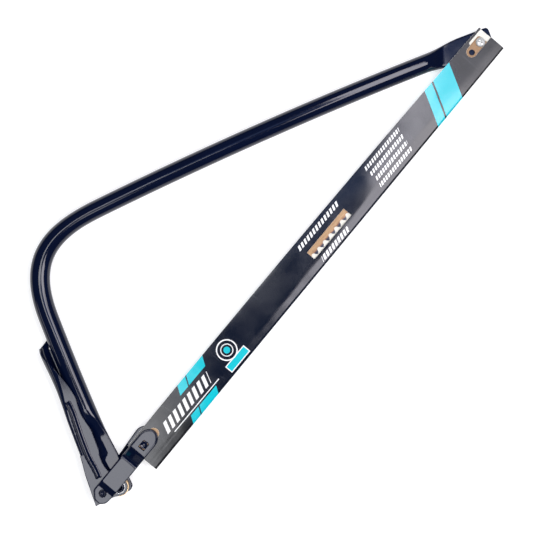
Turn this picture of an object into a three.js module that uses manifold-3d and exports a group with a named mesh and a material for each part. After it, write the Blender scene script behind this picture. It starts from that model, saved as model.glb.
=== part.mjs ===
// Bow saw with an over-centre tension lever and a sleeved blade, lying flat.
// Millimetres. +X runs along the blade from the lever to the tip, +Y points from the
// blade to the bow, +Z is up. The parts are drawn about the blade's pin hole, and the
// whole saw is then moved so that the origin is under the middle of its box.

import * as THREE from "three";
import { mergeVertices } from "three/addons/utils/BufferGeometryUtils.js";
import Module from "manifold-3d";

const wasm = await Module();
wasm.setup();

// ---- Driving dimensions -------------------------------------------------------------

const GAP = 0.3; // clearance between pieces that bear on each other

// Pins, in the XY plane
const BLADE_PIN = [0, 0];
const TIP_SCREW = [524.7, -0.4];
const MAIN_PIVOT = [-46.5, -7.6];
const LINK_PIVOT = [-61.4, 0.9];

// Bow: one steel tube, bent once and pressed flat at both ends
const TUBE_HEIGHT = 18.6;
const TUBE_WIDTH_ARM = 18.5; // long arm above the blade
const TUBE_WIDTH_GRIP = 20.2; // short arm, pressed slightly oval by the bending
const TUBE_WALL = 1.4;
const BEND_START = [36.7, 154.6];
const BEND_END = [151, 187.3];
const BEND_HANDLE = 58; // Bezier handle that gives the bend a 60 mm radius
const GRIP_BOW = [-7.9, 74.5]; // control points of the two slightly bowed arms
const ARM_BOW = [342.3, 102.4];
const FOOT = {
  thick: 3.4,
  width: 24.2,
  beyond: 8.6, // past the pivot
  cornerFrom: 3.4, // where the rounded end starts
  flatTo: 46, // lengths from the pivot over which the flat becomes round
  roundFrom: 88,
  flare: [20, 64], // lengths from the pivot over which the foot's extra width fades out
};
const TIP = { top: -1.5, bottom: -5.1, width: 24.6, beyond: 12.5, flatTo: 34, roundFrom: 54 };
const TIP_CREASE_SKEW = 0.32; // the crease at the tip crosses the tube at a slant

// Blade
const BLADE_THICK = 0.8;
const BLADE_BACK = 5.4; // back edge above the hole line
const BLADE_ROOT = -7; // tooth roots
const BLADE_POINTS = -11.6; // tooth points
const BLADE_ENDS = [-4.4, 529.2];
const BLADE_CORNER = 3.4; // the two back corners are rounded off
const BLADE_HOLE_R = 3;
const HOLE_PITCH = 13.2; // each end has two holes
const FIRST_TOOTH = 12.2;
const TOOTH_PITCH = 8.8;
const GULLETS = 57;
const GULLET = { width: 5, shoulder: 2.6, ease: 0.4 };

// Folded card sleeve: open along the blade's back, folded along its teeth
const SLEEVE_CARD = 0.5;
const SLEEVE_HALF = 1.2;
const SLEEVE_ENDS = [-10.8, 535.3];
const SLEEVE_BACK = [11.8, 10]; // open edge, at the lever's end and at the tip
const SLEEVE_CROWN = 15.2; // pull of the open edge's slight crown
const SLEEVE_CROWN_OFF = 20; // from the sleeve's middle towards the tip
const SLEEVE_FOLD = [-25.1, -22.2];
const SLOT_R = 5.3; // the sleeve's end slots, round the blade's holes
const SLOT_PAST_HOLE = 2.3; // of the slot at the lever's end
const TEETH_WINDOW = { from: 252, to: 309.4, top: -2, bottom: -12, corner: 0.5 };
const TIP_FLAP = { from: 516, top: 7.8, bottom: -2, corner: 1 };

// Tension lever: one pressing, a gutter that becomes two flat cheeks
const SHEET = 1.5;
const CHEEK_Z = 11; // outer faces of the cheeks
const LOBE_R = 8.7;
const LOBE_TURN = [Math.PI + 0.85, 2 * Math.PI + 0.2]; // the round of the cheek about the pivot
const DRAIN_HOLE = { at: [13.2, 134.4], r: 1.6 }; // in the rear side only

// The web's outer edge, from the gutter's free end down to where the web stops
const WEB_EDGE = [[6.2, 141.9], [0.3, 132.7], [-14.8, 99.7], [-32.7, 68.4], [-47.5, 42]];
// How far each side reaches in from that edge: [length from the free end, reach]
const FRONT_REACH = [
  [0, 1], [7, 1], [16, 5.4], [32, 10], [46, 13.8], [58, 16.4], [66, 15.4], [76, 15.6], [93, 19.6],
];
const REAR_REACH = [[0, 11], [14, 13], [58, 16.4], [66, 15.4], [76, 15.6], [93, 19.6]];
const GUTTER_RADIUS = [[0, 11], [30, 9.5], [58, 4.5], [76, 2.6]]; // same lengths, bend radius
const END_SLANT = 0.79; // the gutter's free end is cut at a slant on its rear side
const SLANT_LENGTH = 24;

// The cheek's edge against the web, from the top down, and its inner edge, from the round
// up: each inner stretch is [control point, end]
const CHEEK_TOP = 45.3;
const CHEEK_OUTER = [[-44, CHEEK_TOP], [-47.5, 42], [-59.7, 24.7], [-75.9, -2.3]];
const CHEEK_TOE = [[-68, -5], [-58.8, -9.4], [-55.5, -11]];
const CHEEK_INNER = [[[-39.9, 3], [-41, 11.3]], [[-39.9, 20], [-34.5, 27.8]], [[-29.4, 34.6], [-26, 40.7]]];
const CHEEK_END = [-23.8, CHEEK_TOP];

// Embossed rib on each cheek
const RIB_LINE = [[-15.7, 83.9], [-20.3, 74.2], [-33.1, 53.4], [-43.1, 35.1], [-47.9, 22.9], [-51.6, 15.2]];
const RIB_HEIGHT = 1.2;
const RIB_HALF_WIDTH = 2.6;
const RIB_LEAN = 0.7; // how far the rib's sides lean in

// Link plates, above and below the cheeks
const LINK_THICK = 1.8;
const LINK_HALF_WIDTH = 9.8;
const LINK_MIDDLE = 0.6; // the plate's middle line
const LINK_ENDS = [-71.9, 18.2];
const LINK_FOOT_Z = CHEEK_Z + GAP; // under face of the tab on the cheek
const LINK_DECK_Z = 14.8; // under face of the raised middle
const LINK_TAB_Z = SLEEVE_HALF + GAP; // under face of the tab on the blade
const REAR_LINK_TURN = THREE.MathUtils.degToRad(4.4);
const BLADE_WINDOW = { x: 4, y: 3.1, corner: 1 }; // half sizes of the hole over the blade pin

// Where the plate bends: [x, under face]. It foots on the cheek, steps up over the rivet
// and comes down onto the blade.
const LINK_BENDS = [
  [-74, LINK_FOOT_Z],
  [-56.9, LINK_FOOT_Z],
  [-52.2, LINK_DECK_Z],
  [-20.2, LINK_DECK_Z],
  [-9.8, LINK_TAB_Z],
  [20, LINK_TAB_Z],
];

// Fasteners
const RIVET = { shank: 4, head: 5.8, headTop: 14.3, washer: 6.3, washerThick: 0.8 };
const SPACER_R = 9.4;
const HEAD_EDGE = 0.3; // straight rim under the rivet's dome
const LINK_PIN = { r: 3, rim: 11.7, top: 12.5 };
const BLADE_PIN_R = 2.7;
const SCREW = { shank: 2.6, head: 4.75, headTop: 3.6, headEdge: 1, end: -11.4, chamfer: 0.5 };
const CROSS = { length: 4.6, width: 1.1, depth: 1.4, turn: 0.35 };
const NUT = { acrossFlats: 8.8, thick: 3.6 };
const TIP_WASHER = { r: 5.4, thick: 0.9 };

// Drawing
const THROUGH = 20; // further than any hole is deep
const TUBE_SIDES = 20;
const BORE_SIDES = 12;
const ROUND_SIDES = 20;
const WEB_STATIONS = 14;
const CHAIN_POINTS = 6; // points from the middle of the web to each rim

// ---- Finishes -----------------------------------------------------------------------

const finish = (color, roughness, metalness) => () =>
  new THREE.MeshStandardMaterial({ color, roughness, metalness });
const paint = finish(0x141b35, 0.28, 0.1);
const zinc = finish(0xb9bbbd, 0.32, 1);
const yellowZinc = finish(0xc9a76a, 0.35, 1);
const lacquer = finish(0xb08a5e, 0.4, 0.7);
const card = finish(0x1b2233, 0.3, 0);

// ---- Solids -------------------------------------------------------------------------

function solidFrom(geometry) {
  const bare = geometry.clone();
  bare.deleteAttribute("normal");
  bare.deleteAttribute("uv");
  const merged = mergeVertices(bare, 1e-4);
  const vertProperties = merged.attributes.position.array;
  const triVerts = new Uint32Array(merged.index.array);
  return new wasm.Manifold(new wasm.Mesh({ numProp: 3, vertProperties, triVerts }));
}

function geometryFrom(solid) {
  const { vertProperties, triVerts } = solid.getMesh();
  const geometry = new THREE.BufferGeometry();
  geometry.setAttribute("position", new THREE.BufferAttribute(vertProperties, 3));
  geometry.setIndex(new THREE.BufferAttribute(triVerts, 1));
  return geometry;
}

const cut = (solid, tools) => tools.reduce((left, tool) => left.subtract(tool), solid);
const join = (solids) => solids.reduce((whole, solid) => whole.add(solid));

function piece(name, solid, material) {
  const mesh = new THREE.Mesh(geometryFrom(solid), material);
  mesh.name = name;
  return mesh;
}

// A flat plate of the given outline between two heights.
function plate(shape, low, high, curveSegments = 8) {
  const settings = { depth: high - low, bevelEnabled: false, curveSegments };
  return solidFrom(new THREE.ExtrudeGeometry(shape, settings).translate(0, 0, low));
}

function disc([x, y], radius, low, high, sides = ROUND_SIDES) {
  const geometry = new THREE.CylinderGeometry(radius, radius, high - low, sides);
  return solidFrom(geometry.rotateX(Math.PI / 2).translate(x, y, (low + high) / 2));
}

const hole = (centre, radius, sides) => disc(centre, radius, -THROUGH, THROUGH, sides);

// A turned piece about a vertical axis, from [radius, height] points in rising height.
function turned([x, y], profile, sides = ROUND_SIDES) {
  const points = profile.map(([r, z]) => new THREE.Vector2(r, z));
  const geometry = new THREE.LatheGeometry(points, sides).rotateX(Math.PI / 2);
  return solidFrom(geometry.translate(x, y, 0));
}

// A closed outline whose corners are eased by the radius given as each point's third number.
function easedShape(corners) {
  const shape = new THREE.Shape();
  corners.forEach(([x, y, radius = 0], i) => {
    const corner = new THREE.Vector2(x, y);
    const before = new THREE.Vector2(...corners.at(i - 1));
    const after = new THREE.Vector2(...corners[(i + 1) % corners.length]);
    const start = corner.clone().add(before.sub(corner).setLength(radius));
    const end = corner.clone().add(after.sub(corner).setLength(radius));
    if (i === 0) shape.moveTo(start.x, start.y);
    else shape.lineTo(start.x, start.y);
    if (radius > 0) shape.quadraticCurveTo(x, y, end.x, end.y);
  });
  shape.closePath();
  return shape;
}

// A slot along X with round ends about its two centres.
function slotShape(x0, x1, y, radius) {
  const shape = new THREE.Shape();
  shape.absarc(x0, y, radius, Math.PI / 2, 1.5 * Math.PI);
  shape.absarc(x1, y, radius, -Math.PI / 2, Math.PI / 2);
  shape.closePath();
  return shape;
}

// ---- Bow ----------------------------------------------------------------------------

const vector = ([x, y]) => new THREE.Vector2(x, y);
const mix = THREE.MathUtils.lerp;
const ease = (value, from, to) => THREE.MathUtils.smoothstep(value, from, to);

function bowPath() {
  const pivot = vector(MAIN_PIVOT);
  const tip = vector(TIP_SCREW);
  const gripDirection = vector(BEND_START).sub(vector(GRIP_BOW)).normalize();
  const armDirection = vector(ARM_BOW).sub(vector(BEND_END)).normalize();
  const footDirection = vector(GRIP_BOW).sub(pivot).normalize();
  const tipDirection = tip.clone().sub(vector(ARM_BOW)).normalize();
  const handleIn = vector(BEND_START).addScaledVector(gripDirection, BEND_HANDLE);
  const handleOut = vector(BEND_END).addScaledVector(armDirection, -BEND_HANDLE);
  const path = new THREE.CurvePath();
  path.add(new THREE.LineCurve(pivot.clone().addScaledVector(footDirection, -FOOT.beyond), pivot));
  path.add(new THREE.QuadraticBezierCurve(pivot, vector(GRIP_BOW), vector(BEND_START)));
  path.add(new THREE.CubicBezierCurve(vector(BEND_START), handleIn, handleOut, vector(BEND_END)));
  path.add(new THREE.QuadraticBezierCurve(vector(BEND_END), vector(ARM_BOW), tip));
  path.add(new THREE.LineCurve(tip, tip.clone().addScaledVector(tipDirection, TIP.beyond)));
  return path;
}

const BOW = bowPath();
const BOW_LENGTH = BOW.getLength();

// The tube's half width, top, bottom and slant of the section, at a length along the path.
function bowSection(along) {
  const fromPivot = along - FOOT.beyond;
  const fromTip = BOW_LENGTH - TIP.beyond - along;
  const lengthToBend = vector(BEND_START).distanceTo(vector(MAIN_PIVOT));
  const grip = 1 - ease(fromPivot, lengthToBend + 45, lengthToBend + 120);
  const foot = 1 - ease(fromPivot, FOOT.flatTo, FOOT.roundFrom);
  const flare = 1 - ease(fromPivot, ...FOOT.flare);
  const tipFlare = 1 - ease(fromTip, TIP.flatTo - 12, TIP.roundFrom + 4);
  let half = mix(TUBE_WIDTH_ARM, TUBE_WIDTH_GRIP, grip) / 2;
  half = mix(half, FOOT.width / 2, flare);
  half = mix(half, TIP.width / 2, tipFlare);
  const corner = Math.max(0, -fromPivot - FOOT.cornerFrom) / (FOOT.beyond - FOOT.cornerFrom + 1.4);
  half *= Math.sqrt(1 - corner * corner);
  const height = mix(TUBE_HEIGHT / 2, FOOT.thick / 2, foot);
  const pressedTop = 1 - ease(fromTip, TIP.flatTo + 5, TIP.roundFrom + 5);
  const pressedBottom = 1 - ease(fromTip, TIP.flatTo - 4, TIP.roundFrom - 4);
  return {
    half,
    top: mix(height, TIP.top, pressedTop),
    bottom: mix(-height, TIP.bottom, pressedBottom),
    skew: TIP_CREASE_SKEW * (ease(fromTip, 0, TIP.flatTo - 6) - ease(fromTip, TIP.roundFrom, 90)),
  };
}

// Lengths along the path where the section is drawn: close together where it changes.
function bowStations(overrun) {
  const footEnd = FOOT.beyond + FOOT.roundFrom;
  const bendFrom = BOW.curves[0].getLength() + BOW.curves[1].getLength();
  const bendTo = bendFrom + BOW.curves[2].getLength();
  const tipFrom = BOW_LENGTH - TIP.beyond - TIP.roundFrom - 12;
  const spans = [
    [-overrun, FOOT.beyond - FOOT.cornerFrom, 3],
    [FOOT.beyond - FOOT.cornerFrom, footEnd - 45, 2],
    [footEnd - 45, footEnd, 9],
    [footEnd, bendFrom, 4],
    [bendFrom, bendTo, 12],
    [bendTo, tipFrom, 7],
    [tipFrom, BOW_LENGTH - TIP.beyond - TIP.flatTo + 8, 9],
    [BOW_LENGTH - TIP.beyond - TIP.flatTo + 8, BOW_LENGTH + overrun, 3],
  ];
  const stations = [spans[0][0]];
  for (const [from, to, steps] of spans) {
    for (let i = 1; i <= steps; i++) stations.push(mix(from, to, i / steps));
  }
  return stations;
}

// A stadium-sectioned sweep along the bow, smaller all round by the inset. The cylinder's
// vertices are carried onto the sections: its height becomes length along the bow. It has
// flats above, below and at both sides, so the pressed ends are truly flat.
function bowSweep(inset, overrun, sides) {
  const stations = bowStations(overrun);
  const steps = stations.length - 1;
  const corner = 1 / Math.cos(Math.PI / sides);
  const geometry = new THREE.CylinderGeometry(corner, corner, 1, sides, steps, false, Math.PI / sides);
  const position = geometry.attributes.position;
  for (let i = 0; i < position.count; i++) {
    const [x, y, z] = [position.getX(i), position.getY(i), position.getZ(i)];
    const along = stations[Math.round((0.5 - y) * steps)];
    const inside = THREE.MathUtils.clamp(along, 0, BOW_LENGTH);
    const { half, top, bottom, skew } = bowSection(inside);
    const centre = BOW.getPoint(inside / BOW_LENGTH);
    const forward = BOW.getTangent(inside / BOW_LENGTH);
    const [flatHalf, low, high] = [half - inset, bottom + inset, top - inset];
    const radius = (high - low) / 2;
    const middle = (high + low) / 2;
    const straight = Math.max(flatHalf - radius, 0);
    const side = Math.abs(x) < 1e-6 ? 0 : Math.sign(x);
    const lateral = side * straight + x * Math.min(radius, flatHalf);
    const ahead = along - inside + skew * lateral;
    position.setXYZ(
      i,
      centre.x - forward.y * lateral + forward.x * ahead,
      centre.y + forward.x * lateral + forward.y * ahead,
      middle + z * radius,
    );
  }
  return solidFrom(geometry);
}

function frameTube() {
  const tube = bowSweep(0, 0, TUBE_SIDES).subtract(bowSweep(TUBE_WALL, 1, BORE_SIDES));
  const pivotHole = hole(MAIN_PIVOT, RIVET.shank + GAP);
  const screwHole = hole(TIP_SCREW, SCREW.shank + GAP);
  return piece("frame_tube", cut(tube, [pivotHole, screwHole]), paint());
}

// ---- Tension lever ------------------------------------------------------------------

const webCurve = new THREE.SplineCurve(WEB_EDGE.map(vector));

// A value read from [key, value] pairs, straight between them and level past their ends.
function readAlong(pairs, key) {
  const next = pairs.findIndex(([k]) => k > key);
  if (next === 0) return pairs[0][1];
  if (next < 0) return pairs.at(-1)[1];
  const [k0, v0] = pairs[next - 1];
  const [k1, v1] = pairs[next];
  return mix(v0, v1, (key - k0) / (k1 - k0));
}

// A point of the gutter's outer face: how far in from the web edge, how high, and the
// outward normal there, at a fraction of the way from the web's middle to the rim.
function gutterPoint(reach, radius, fraction) {
  const wall = CHEEK_Z - radius;
  const turn = Math.acos(Math.max(0, 1 - reach / radius));
  const straight = Math.max(0, reach - radius);
  let length = fraction * (wall + turn * radius + straight);
  if (length <= wall) return { inward: 0, up: length, nx: -1, nz: 0 };
  length -= wall;
  const angle = Math.min(length / radius, turn);
  const rest = length - angle * radius;
  return {
    inward: radius * (1 - Math.cos(angle)) + rest,
    up: wall + radius * Math.sin(angle),
    nx: -Math.cos(angle),
    nz: Math.sin(angle),
  };
}

// A closed solid between two matching grids of points, the first on the outer face.
function sheetSolid(outer, inner) {
  const [rows, columns] = [outer.length, outer[0].length];
  const vertices = [...outer.flat(), ...inner.flat()];
  const at = (layer, row, column) => layer * rows * columns + row * columns + column;
  const triangles = [];
  const quad = (a, b, c, d) => triangles.push(a, b, c, a, c, d);
  for (let r = 0; r < rows - 1; r++) {
    for (let c = 0; c < columns - 1; c++) {
      quad(at(0, r, c), at(0, r + 1, c), at(0, r + 1, c + 1), at(0, r, c + 1));
      quad(at(1, r, c), at(1, r, c + 1), at(1, r + 1, c + 1), at(1, r + 1, c));
    }
    quad(at(0, r, 0), at(1, r, 0), at(1, r + 1, 0), at(0, r + 1, 0));
    const last = columns - 1;
    quad(at(0, r, last), at(0, r + 1, last), at(1, r + 1, last), at(1, r, last));
  }
  const end = rows - 1;
  for (let c = 0; c < columns - 1; c++) {
    quad(at(0, 0, c), at(0, 0, c + 1), at(1, 0, c + 1), at(1, 0, c));
    quad(at(0, end, c), at(1, end, c), at(1, end, c + 1), at(0, end, c + 1));
  }
  const geometry = new THREE.BufferGeometry().setFromPoints(vertices);
  geometry.setIndex(triangles);
  return solidFrom(geometry);
}

function gutter() {
  const length = webCurve.getLength();
  const [outer, inner] = [[], []];
  for (let i = 0; i <= WEB_STATIONS; i++) {
    const along = (length * i) / WEB_STATIONS;
    const edge = webCurve.getPointAt(i / WEB_STATIONS);
    const down = webCurve.getTangentAt(i / WEB_STATIONS);
    const radius = readAlong(GUTTER_RADIUS, along);
    const [outerRow, innerRow] = [[], []];
    for (let j = -CHAIN_POINTS; j <= CHAIN_POINTS; j++) {
      const reach = readAlong(j < 0 ? REAR_REACH : FRONT_REACH, along);
      const side = j < 0 ? -1 : 1;
      const p = gutterPoint(reach, radius, Math.abs(j) / CHAIN_POINTS);
      const slant = j < 0 ? END_SLANT * (1 - ease(along, 0, SLANT_LENGTH)) : 0;
      const place = (x, z) => {
        const up = slant * x;
        const [px, py] = [edge.x - down.y * x - down.x * up, edge.y + down.x * x - down.y * up];
        return new THREE.Vector3(px, py, z);
      };
      outerRow.push(place(p.inward, side * p.up));
      innerRow.push(place(p.inward - p.nx * SHEET, side * (p.up - p.nz * SHEET)));
    }
    outer.push(outerRow);
    inner.push(innerRow);
  }
  return sheetSolid(outer, inner);
}

function cheekShape() {
  const [ax, ay] = MAIN_PIVOT;
  const [from, to] = LOBE_TURN;
  const lobeStart = [ax + LOBE_R * Math.cos(from), ay + LOBE_R * Math.sin(from)];
  const [toeControl, toe, heelControl] = CHEEK_TOE;
  const shape = new THREE.Shape(CHEEK_OUTER.map(vector));
  shape.quadraticCurveTo(...toeControl, ...toe);
  shape.quadraticCurveTo(...heelControl, ...lobeStart);
  shape.absarc(ax, ay, LOBE_R, from, to);
  for (const [control, end] of CHEEK_INNER) shape.quadraticCurveTo(...control, ...end);
  shape.lineTo(...CHEEK_END);
  shape.closePath();
  return shape;
}

// The outline of a round-ended band along a smooth line.
function bandShape(points, halfWidth, steps = 12) {
  const line = new THREE.SplineCurve(points.map(vector));
  const outline = [];
  for (const side of [1, -1]) {
    const first = side > 0 ? 0 : steps;
    for (let i = 0; i <= steps; i++) {
      const t = Math.abs(first - i) / steps;
      const [p, d] = [line.getPointAt(t), line.getTangentAt(t)];
      outline.push(new THREE.Vector2(p.x - side * d.y * halfWidth, p.y + side * d.x * halfWidth));
    }
    const [end, d] = [line.getPointAt(side > 0 ? 1 : 0), line.getTangentAt(side > 0 ? 1 : 0)];
    for (let i = 1; i < 6; i++) {
      const turn = Math.PI / 2 - (i * Math.PI) / 6;
      const [along, across] = [side * Math.cos(turn), side * Math.sin(turn)];
      outline.push(
        new THREE.Vector2(
          end.x + halfWidth * (d.x * along - d.y * across),
          end.y + halfWidth * (d.y * along + d.x * across),
        ),
      );
    }
  }
  return new THREE.Shape(outline);
}

function rib(side) {
  const settings = {
    depth: 0.6,
    bevelThickness: RIB_HEIGHT - 0.2,
    bevelSize: RIB_LEAN,
    bevelOffset: -RIB_LEAN,
    bevelSegments: 1,
  };
  const geometry = new THREE.ExtrudeGeometry(bandShape(RIB_LINE, RIB_HALF_WIDTH), settings);
  const low = CHEEK_Z + RIB_HEIGHT - settings.depth - settings.bevelThickness;
  const solid = solidFrom(geometry.translate(0, 0, low)).trimByPlane([0, 0, 1], CHEEK_Z - 0.4);
  return side > 0 ? solid : solid.mirror([0, 0, 1]);
}

function tensionLever() {
  const cheeks = [1, -1].map((side) => {
    const [low, high] = side > 0 ? [CHEEK_Z - SHEET, CHEEK_Z] : [-CHEEK_Z, SHEET - CHEEK_Z];
    return plate(cheekShape(), low, high, 6);
  });
  const body = join([gutter(), ...cheeks, rib(1), rib(-1)]);
  const pivotHole = hole(MAIN_PIVOT, RIVET.shank + GAP);
  const linkHole = hole(LINK_PIVOT, LINK_PIN.r + GAP);
  const drainHole = disc(DRAIN_HOLE.at, DRAIN_HOLE.r, -THROUGH, 0, 12);
  return piece("tension_lever", cut(body, [pivotHole, linkHole, drainHole]), paint());
}

// ---- Link plates --------------------------------------------------------------------

// The side view of the plate: the under face, then the top face offset along its normals.
function linkSideShape() {
  const under = LINK_BENDS.map(vector);
  const slopes = under.slice(1).map((p, i) => p.clone().sub(under[i]).normalize());
  const top = under.map((p, i) => {
    const before = slopes[Math.max(i - 1, 0)];
    const after = slopes[Math.min(i, slopes.length - 1)];
    const normal = new THREE.Vector2(-before.y - after.y, before.x + after.x).normalize();
    const spread = normal.x * -after.y + normal.y * after.x;
    return p.clone().addScaledVector(normal, LINK_THICK / spread);
  });
  return new THREE.Shape([...under, ...top.reverse()]);
}

function linkOutline() {
  const [low, high] = [LINK_MIDDLE - LINK_HALF_WIDTH, LINK_MIDDLE + LINK_HALF_WIDTH];
  const [rear, nose] = LINK_ENDS;
  return easedShape([
    [-58, low, 1],
    [nose - 6.6, low, 5],
    [nose, LINK_MIDDLE - 3.2, 3],
    [nose, LINK_MIDDLE + 3.2, 3],
    [nose - 6.6, high, 5],
    [rear + 7.3, high, 2],
    [rear, LINK_MIDDLE + 3, 2.4],
    [rear, LINK_MIDDLE - 4.2, 2.4],
    [rear + 4.6, low + 0.9, 2.4],
  ]);
}

function linkPlate(name, side) {
  const side3d = new THREE.ExtrudeGeometry(linkSideShape(), { depth: 60, bevelEnabled: false });
  const folded = side3d.rotateX(Math.PI / 2).translate(0, 30, 0);
  let solid = solidFrom(folded).intersect(plate(linkOutline(), -THROUGH, THROUGH, 6));
  if (side < 0) {
    const [bx, by] = LINK_PIVOT;
    const turn = new THREE.Matrix4().makeTranslation(bx, by, 0);
    turn.multiply(new THREE.Matrix4().makeRotationZ(REAR_LINK_TURN));
    turn.multiply(new THREE.Matrix4().makeTranslation(-bx, -by, 0));
    solid = solid.mirror([0, 0, 1]).transform(turn.elements);
  }
  const { x, y, corner } = BLADE_WINDOW;
  const window = easedShape([[-x, -y, corner], [x, -y, corner], [x, y, corner], [-x, y, corner]]);
  const holes = [hole(LINK_PIVOT, LINK_PIN.r + GAP), plate(window, -THROUGH, THROUGH, 3)];
  return piece(name, cut(solid, holes), paint());
}

// ---- Blade and sleeve ---------------------------------------------------------------

function toothedBlade() {
  const [start, end] = BLADE_ENDS;
  const half = GULLET.width / 2;
  const shoulder = BLADE_ROOT - GULLET.shoulder;
  const shape = new THREE.Shape();
  shape.moveTo(start + BLADE_CORNER, BLADE_BACK);
  shape.quadraticCurveTo(start, BLADE_BACK, start, BLADE_BACK - BLADE_CORNER);
  shape.lineTo(start, BLADE_ROOT);
  for (let i = 0; i < GULLETS; i++) {
    const middle = FIRST_TOOTH + (i + 0.5) * TOOTH_PITCH;
    shape.lineTo(middle - TOOTH_PITCH / 2, BLADE_POINTS);
    shape.lineTo(middle - half, shoulder);
    shape.quadraticCurveTo(middle - half + GULLET.ease, BLADE_ROOT, middle, BLADE_ROOT);
    shape.quadraticCurveTo(middle + half - GULLET.ease, BLADE_ROOT, middle + half, shoulder);
  }
  shape.lineTo(FIRST_TOOTH + GULLETS * TOOTH_PITCH, BLADE_POINTS);
  shape.lineTo(end, BLADE_ROOT);
  shape.lineTo(end, BLADE_BACK - BLADE_CORNER);
  shape.quadraticCurveTo(end, BLADE_BACK, end - BLADE_CORNER, BLADE_BACK);
  shape.closePath();
  const [tipX, tipY] = TIP_SCREW;
  const holes = [BLADE_PIN, [HOLE_PITCH, 0], TIP_SCREW, [tipX - HOLE_PITCH, tipY]];
  const solid = plate(shape, -BLADE_THICK / 2, BLADE_THICK / 2, 2);
  return piece("blade", cut(solid, holes.map((centre) => hole(centre, BLADE_HOLE_R))), lacquer());
}

// The sleeve's outline: the open back edge is slightly crowned, the folded edge straight.
// The inside of the fold is the same outline, run out past the ends and the open edge.
function sleeveOutline(overrun) {
  const [start, end] = [SLEEVE_ENDS[0] - overrun, SLEEVE_ENDS[1] + overrun];
  const [backStart, backEnd] = SLEEVE_BACK.map((y) => y + overrun);
  const [foldStart, foldEnd] = SLEEVE_FOLD.map((y) => y + SLEEVE_CARD * Math.sign(overrun));
  const shape = new THREE.Shape();
  shape.moveTo(start, backStart);
  shape.lineTo(start, foldStart);
  shape.lineTo(end, foldEnd);
  shape.lineTo(end, backEnd);
  const crownX = (start + end) / 2 + SLEEVE_CROWN_OFF;
  shape.quadraticCurveTo(crownX, SLEEVE_CROWN + overrun, start, backStart);
  return shape;
}

const rectangle = (x0, x1, y0, y1, corner) =>
  easedShape([[x0, y1, corner], [x0, y0, corner], [x1, y0, corner], [x1, y1, corner]]);

function bladeSleeve() {
  const [start, end] = SLEEVE_ENDS;
  const [tipX] = TIP_SCREW;
  const pinSlotEnd = HOLE_PITCH + SLOT_PAST_HOLE;
  const body = plate(sleeveOutline(0), -SLEEVE_HALF, SLEEVE_HALF, 10);
  const inside = plate(sleeveOutline(4), SLEEVE_CARD - SLEEVE_HALF, SLEEVE_HALF - SLEEVE_CARD, 10);
  const { from, to, top, bottom, corner } = TEETH_WINDOW;
  const front = [
    slotShape(tipX - HOLE_PITCH, end + THROUGH, 0, SLOT_R),
    rectangle(TIP_FLAP.from, end + THROUGH, TIP_FLAP.bottom, TIP_FLAP.top, TIP_FLAP.corner),
    slotShape(start - THROUGH, pinSlotEnd, 0, SLOT_R),
    rectangle(from, to, bottom, top, corner),
  ].map((shape) => plate(shape, 0, 3, 6));
  const rear = [
    slotShape(tipX - HOLE_PITCH, tipX, 0, SLOT_R),
    slotShape(0, pinSlotEnd, 0, SLOT_R),
  ].map((shape) => plate(shape, -3, 0, 6));
  return piece("blade_sleeve", cut(body, [inside, ...front, ...rear]), card());
}

// ---- Pins, rivet, screw and nut -----------------------------------------------------

// Half a low dome, from the rim inwards to the axis, as [radius, height] points.
function domeProfile(radius, low, high, steps = 3) {
  const points = [];
  for (let i = 0; i <= steps; i++) {
    const angle = (i / steps) * (Math.PI / 2);
    points.push([i === steps ? 0 : radius * Math.cos(angle), low + (high - low) * Math.sin(angle)]);
  }
  return points;
}

function mainRivet() {
  const under = CHEEK_Z + 2 * GAP + RIVET.washerThick;
  const dome = domeProfile(RIVET.head, under + HEAD_EDGE, RIVET.headTop);
  const upper = [[RIVET.shank, under], [RIVET.head, under], ...dome];
  const lower = upper.map(([r, z]) => [r, -z]).reverse();
  return piece("main_rivet", turned(MAIN_PIVOT, [...lower, ...upper]), paint());
}

function ring(name, centre, outer, inner, low, high, material) {
  return piece(name, cut(disc(centre, outer, low, high), [hole(centre, inner)]), material);
}

// Two rings on the main pivot, alike on both sides of the tube.
function bothSides(name, outer, low, high, material) {
  const inner = RIVET.shank + GAP;
  return [
    ring(name + "_front", MAIN_PIVOT, outer, inner, low, high, material()),
    ring(name + "_rear", MAIN_PIVOT, outer, inner, -high, -low, material()),
  ];
}

function linkPin() {
  const dome = domeProfile(LINK_PIN.r, LINK_PIN.rim, LINK_PIN.top, 2);
  const lower = dome.map(([r, z]) => [r, -z]).reverse();
  return piece("link_pin", turned(LINK_PIVOT, [...lower, ...dome]), paint());
}

function bladePin() {
  return piece("blade_pin", disc(BLADE_PIN, BLADE_PIN_R, -SLEEVE_HALF, SLEEVE_HALF), paint());
}

function tipScrew() {
  const under = BLADE_THICK / 2 + GAP;
  const { shank, head, headTop, headEdge, end, chamfer } = SCREW;
  const stem = [[0, end], [shank - chamfer, end], [shank, end + chamfer], [shank, under], [head, under]];
  const solid = turned(TIP_SCREW, [...stem, ...domeProfile(head, under + headEdge, headTop)]);
  const recess = [0, Math.PI / 2].map((turn) => {
    const bar = new THREE.BoxGeometry(CROSS.length, CROSS.width, 2 * CROSS.depth);
    return solidFrom(bar.rotateZ(turn + CROSS.turn).translate(...TIP_SCREW, headTop));
  });
  return piece("tip_screw", cut(solid, recess), zinc());
}

function tipNut() {
  const high = TIP.bottom - 2 * GAP - TIP_WASHER.thick;
  const corner = NUT.acrossFlats / Math.sqrt(3);
  const nut = disc(TIP_SCREW, corner, high - NUT.thick, high, 6);
  return piece("tip_nut", cut(nut, [hole(TIP_SCREW, SCREW.shank + GAP)]), zinc());
}

function tipWasher() {
  const high = TIP.bottom - GAP;
  const low = high - TIP_WASHER.thick;
  return ring("tip_washer", TIP_SCREW, TIP_WASHER.r, SCREW.shank + GAP, low, high, zinc());
}

// ---- Assembly -----------------------------------------------------------------------

function group(...children) {
  const holder = new THREE.Group();
  holder.add(...children);
  return holder;
}

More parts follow.
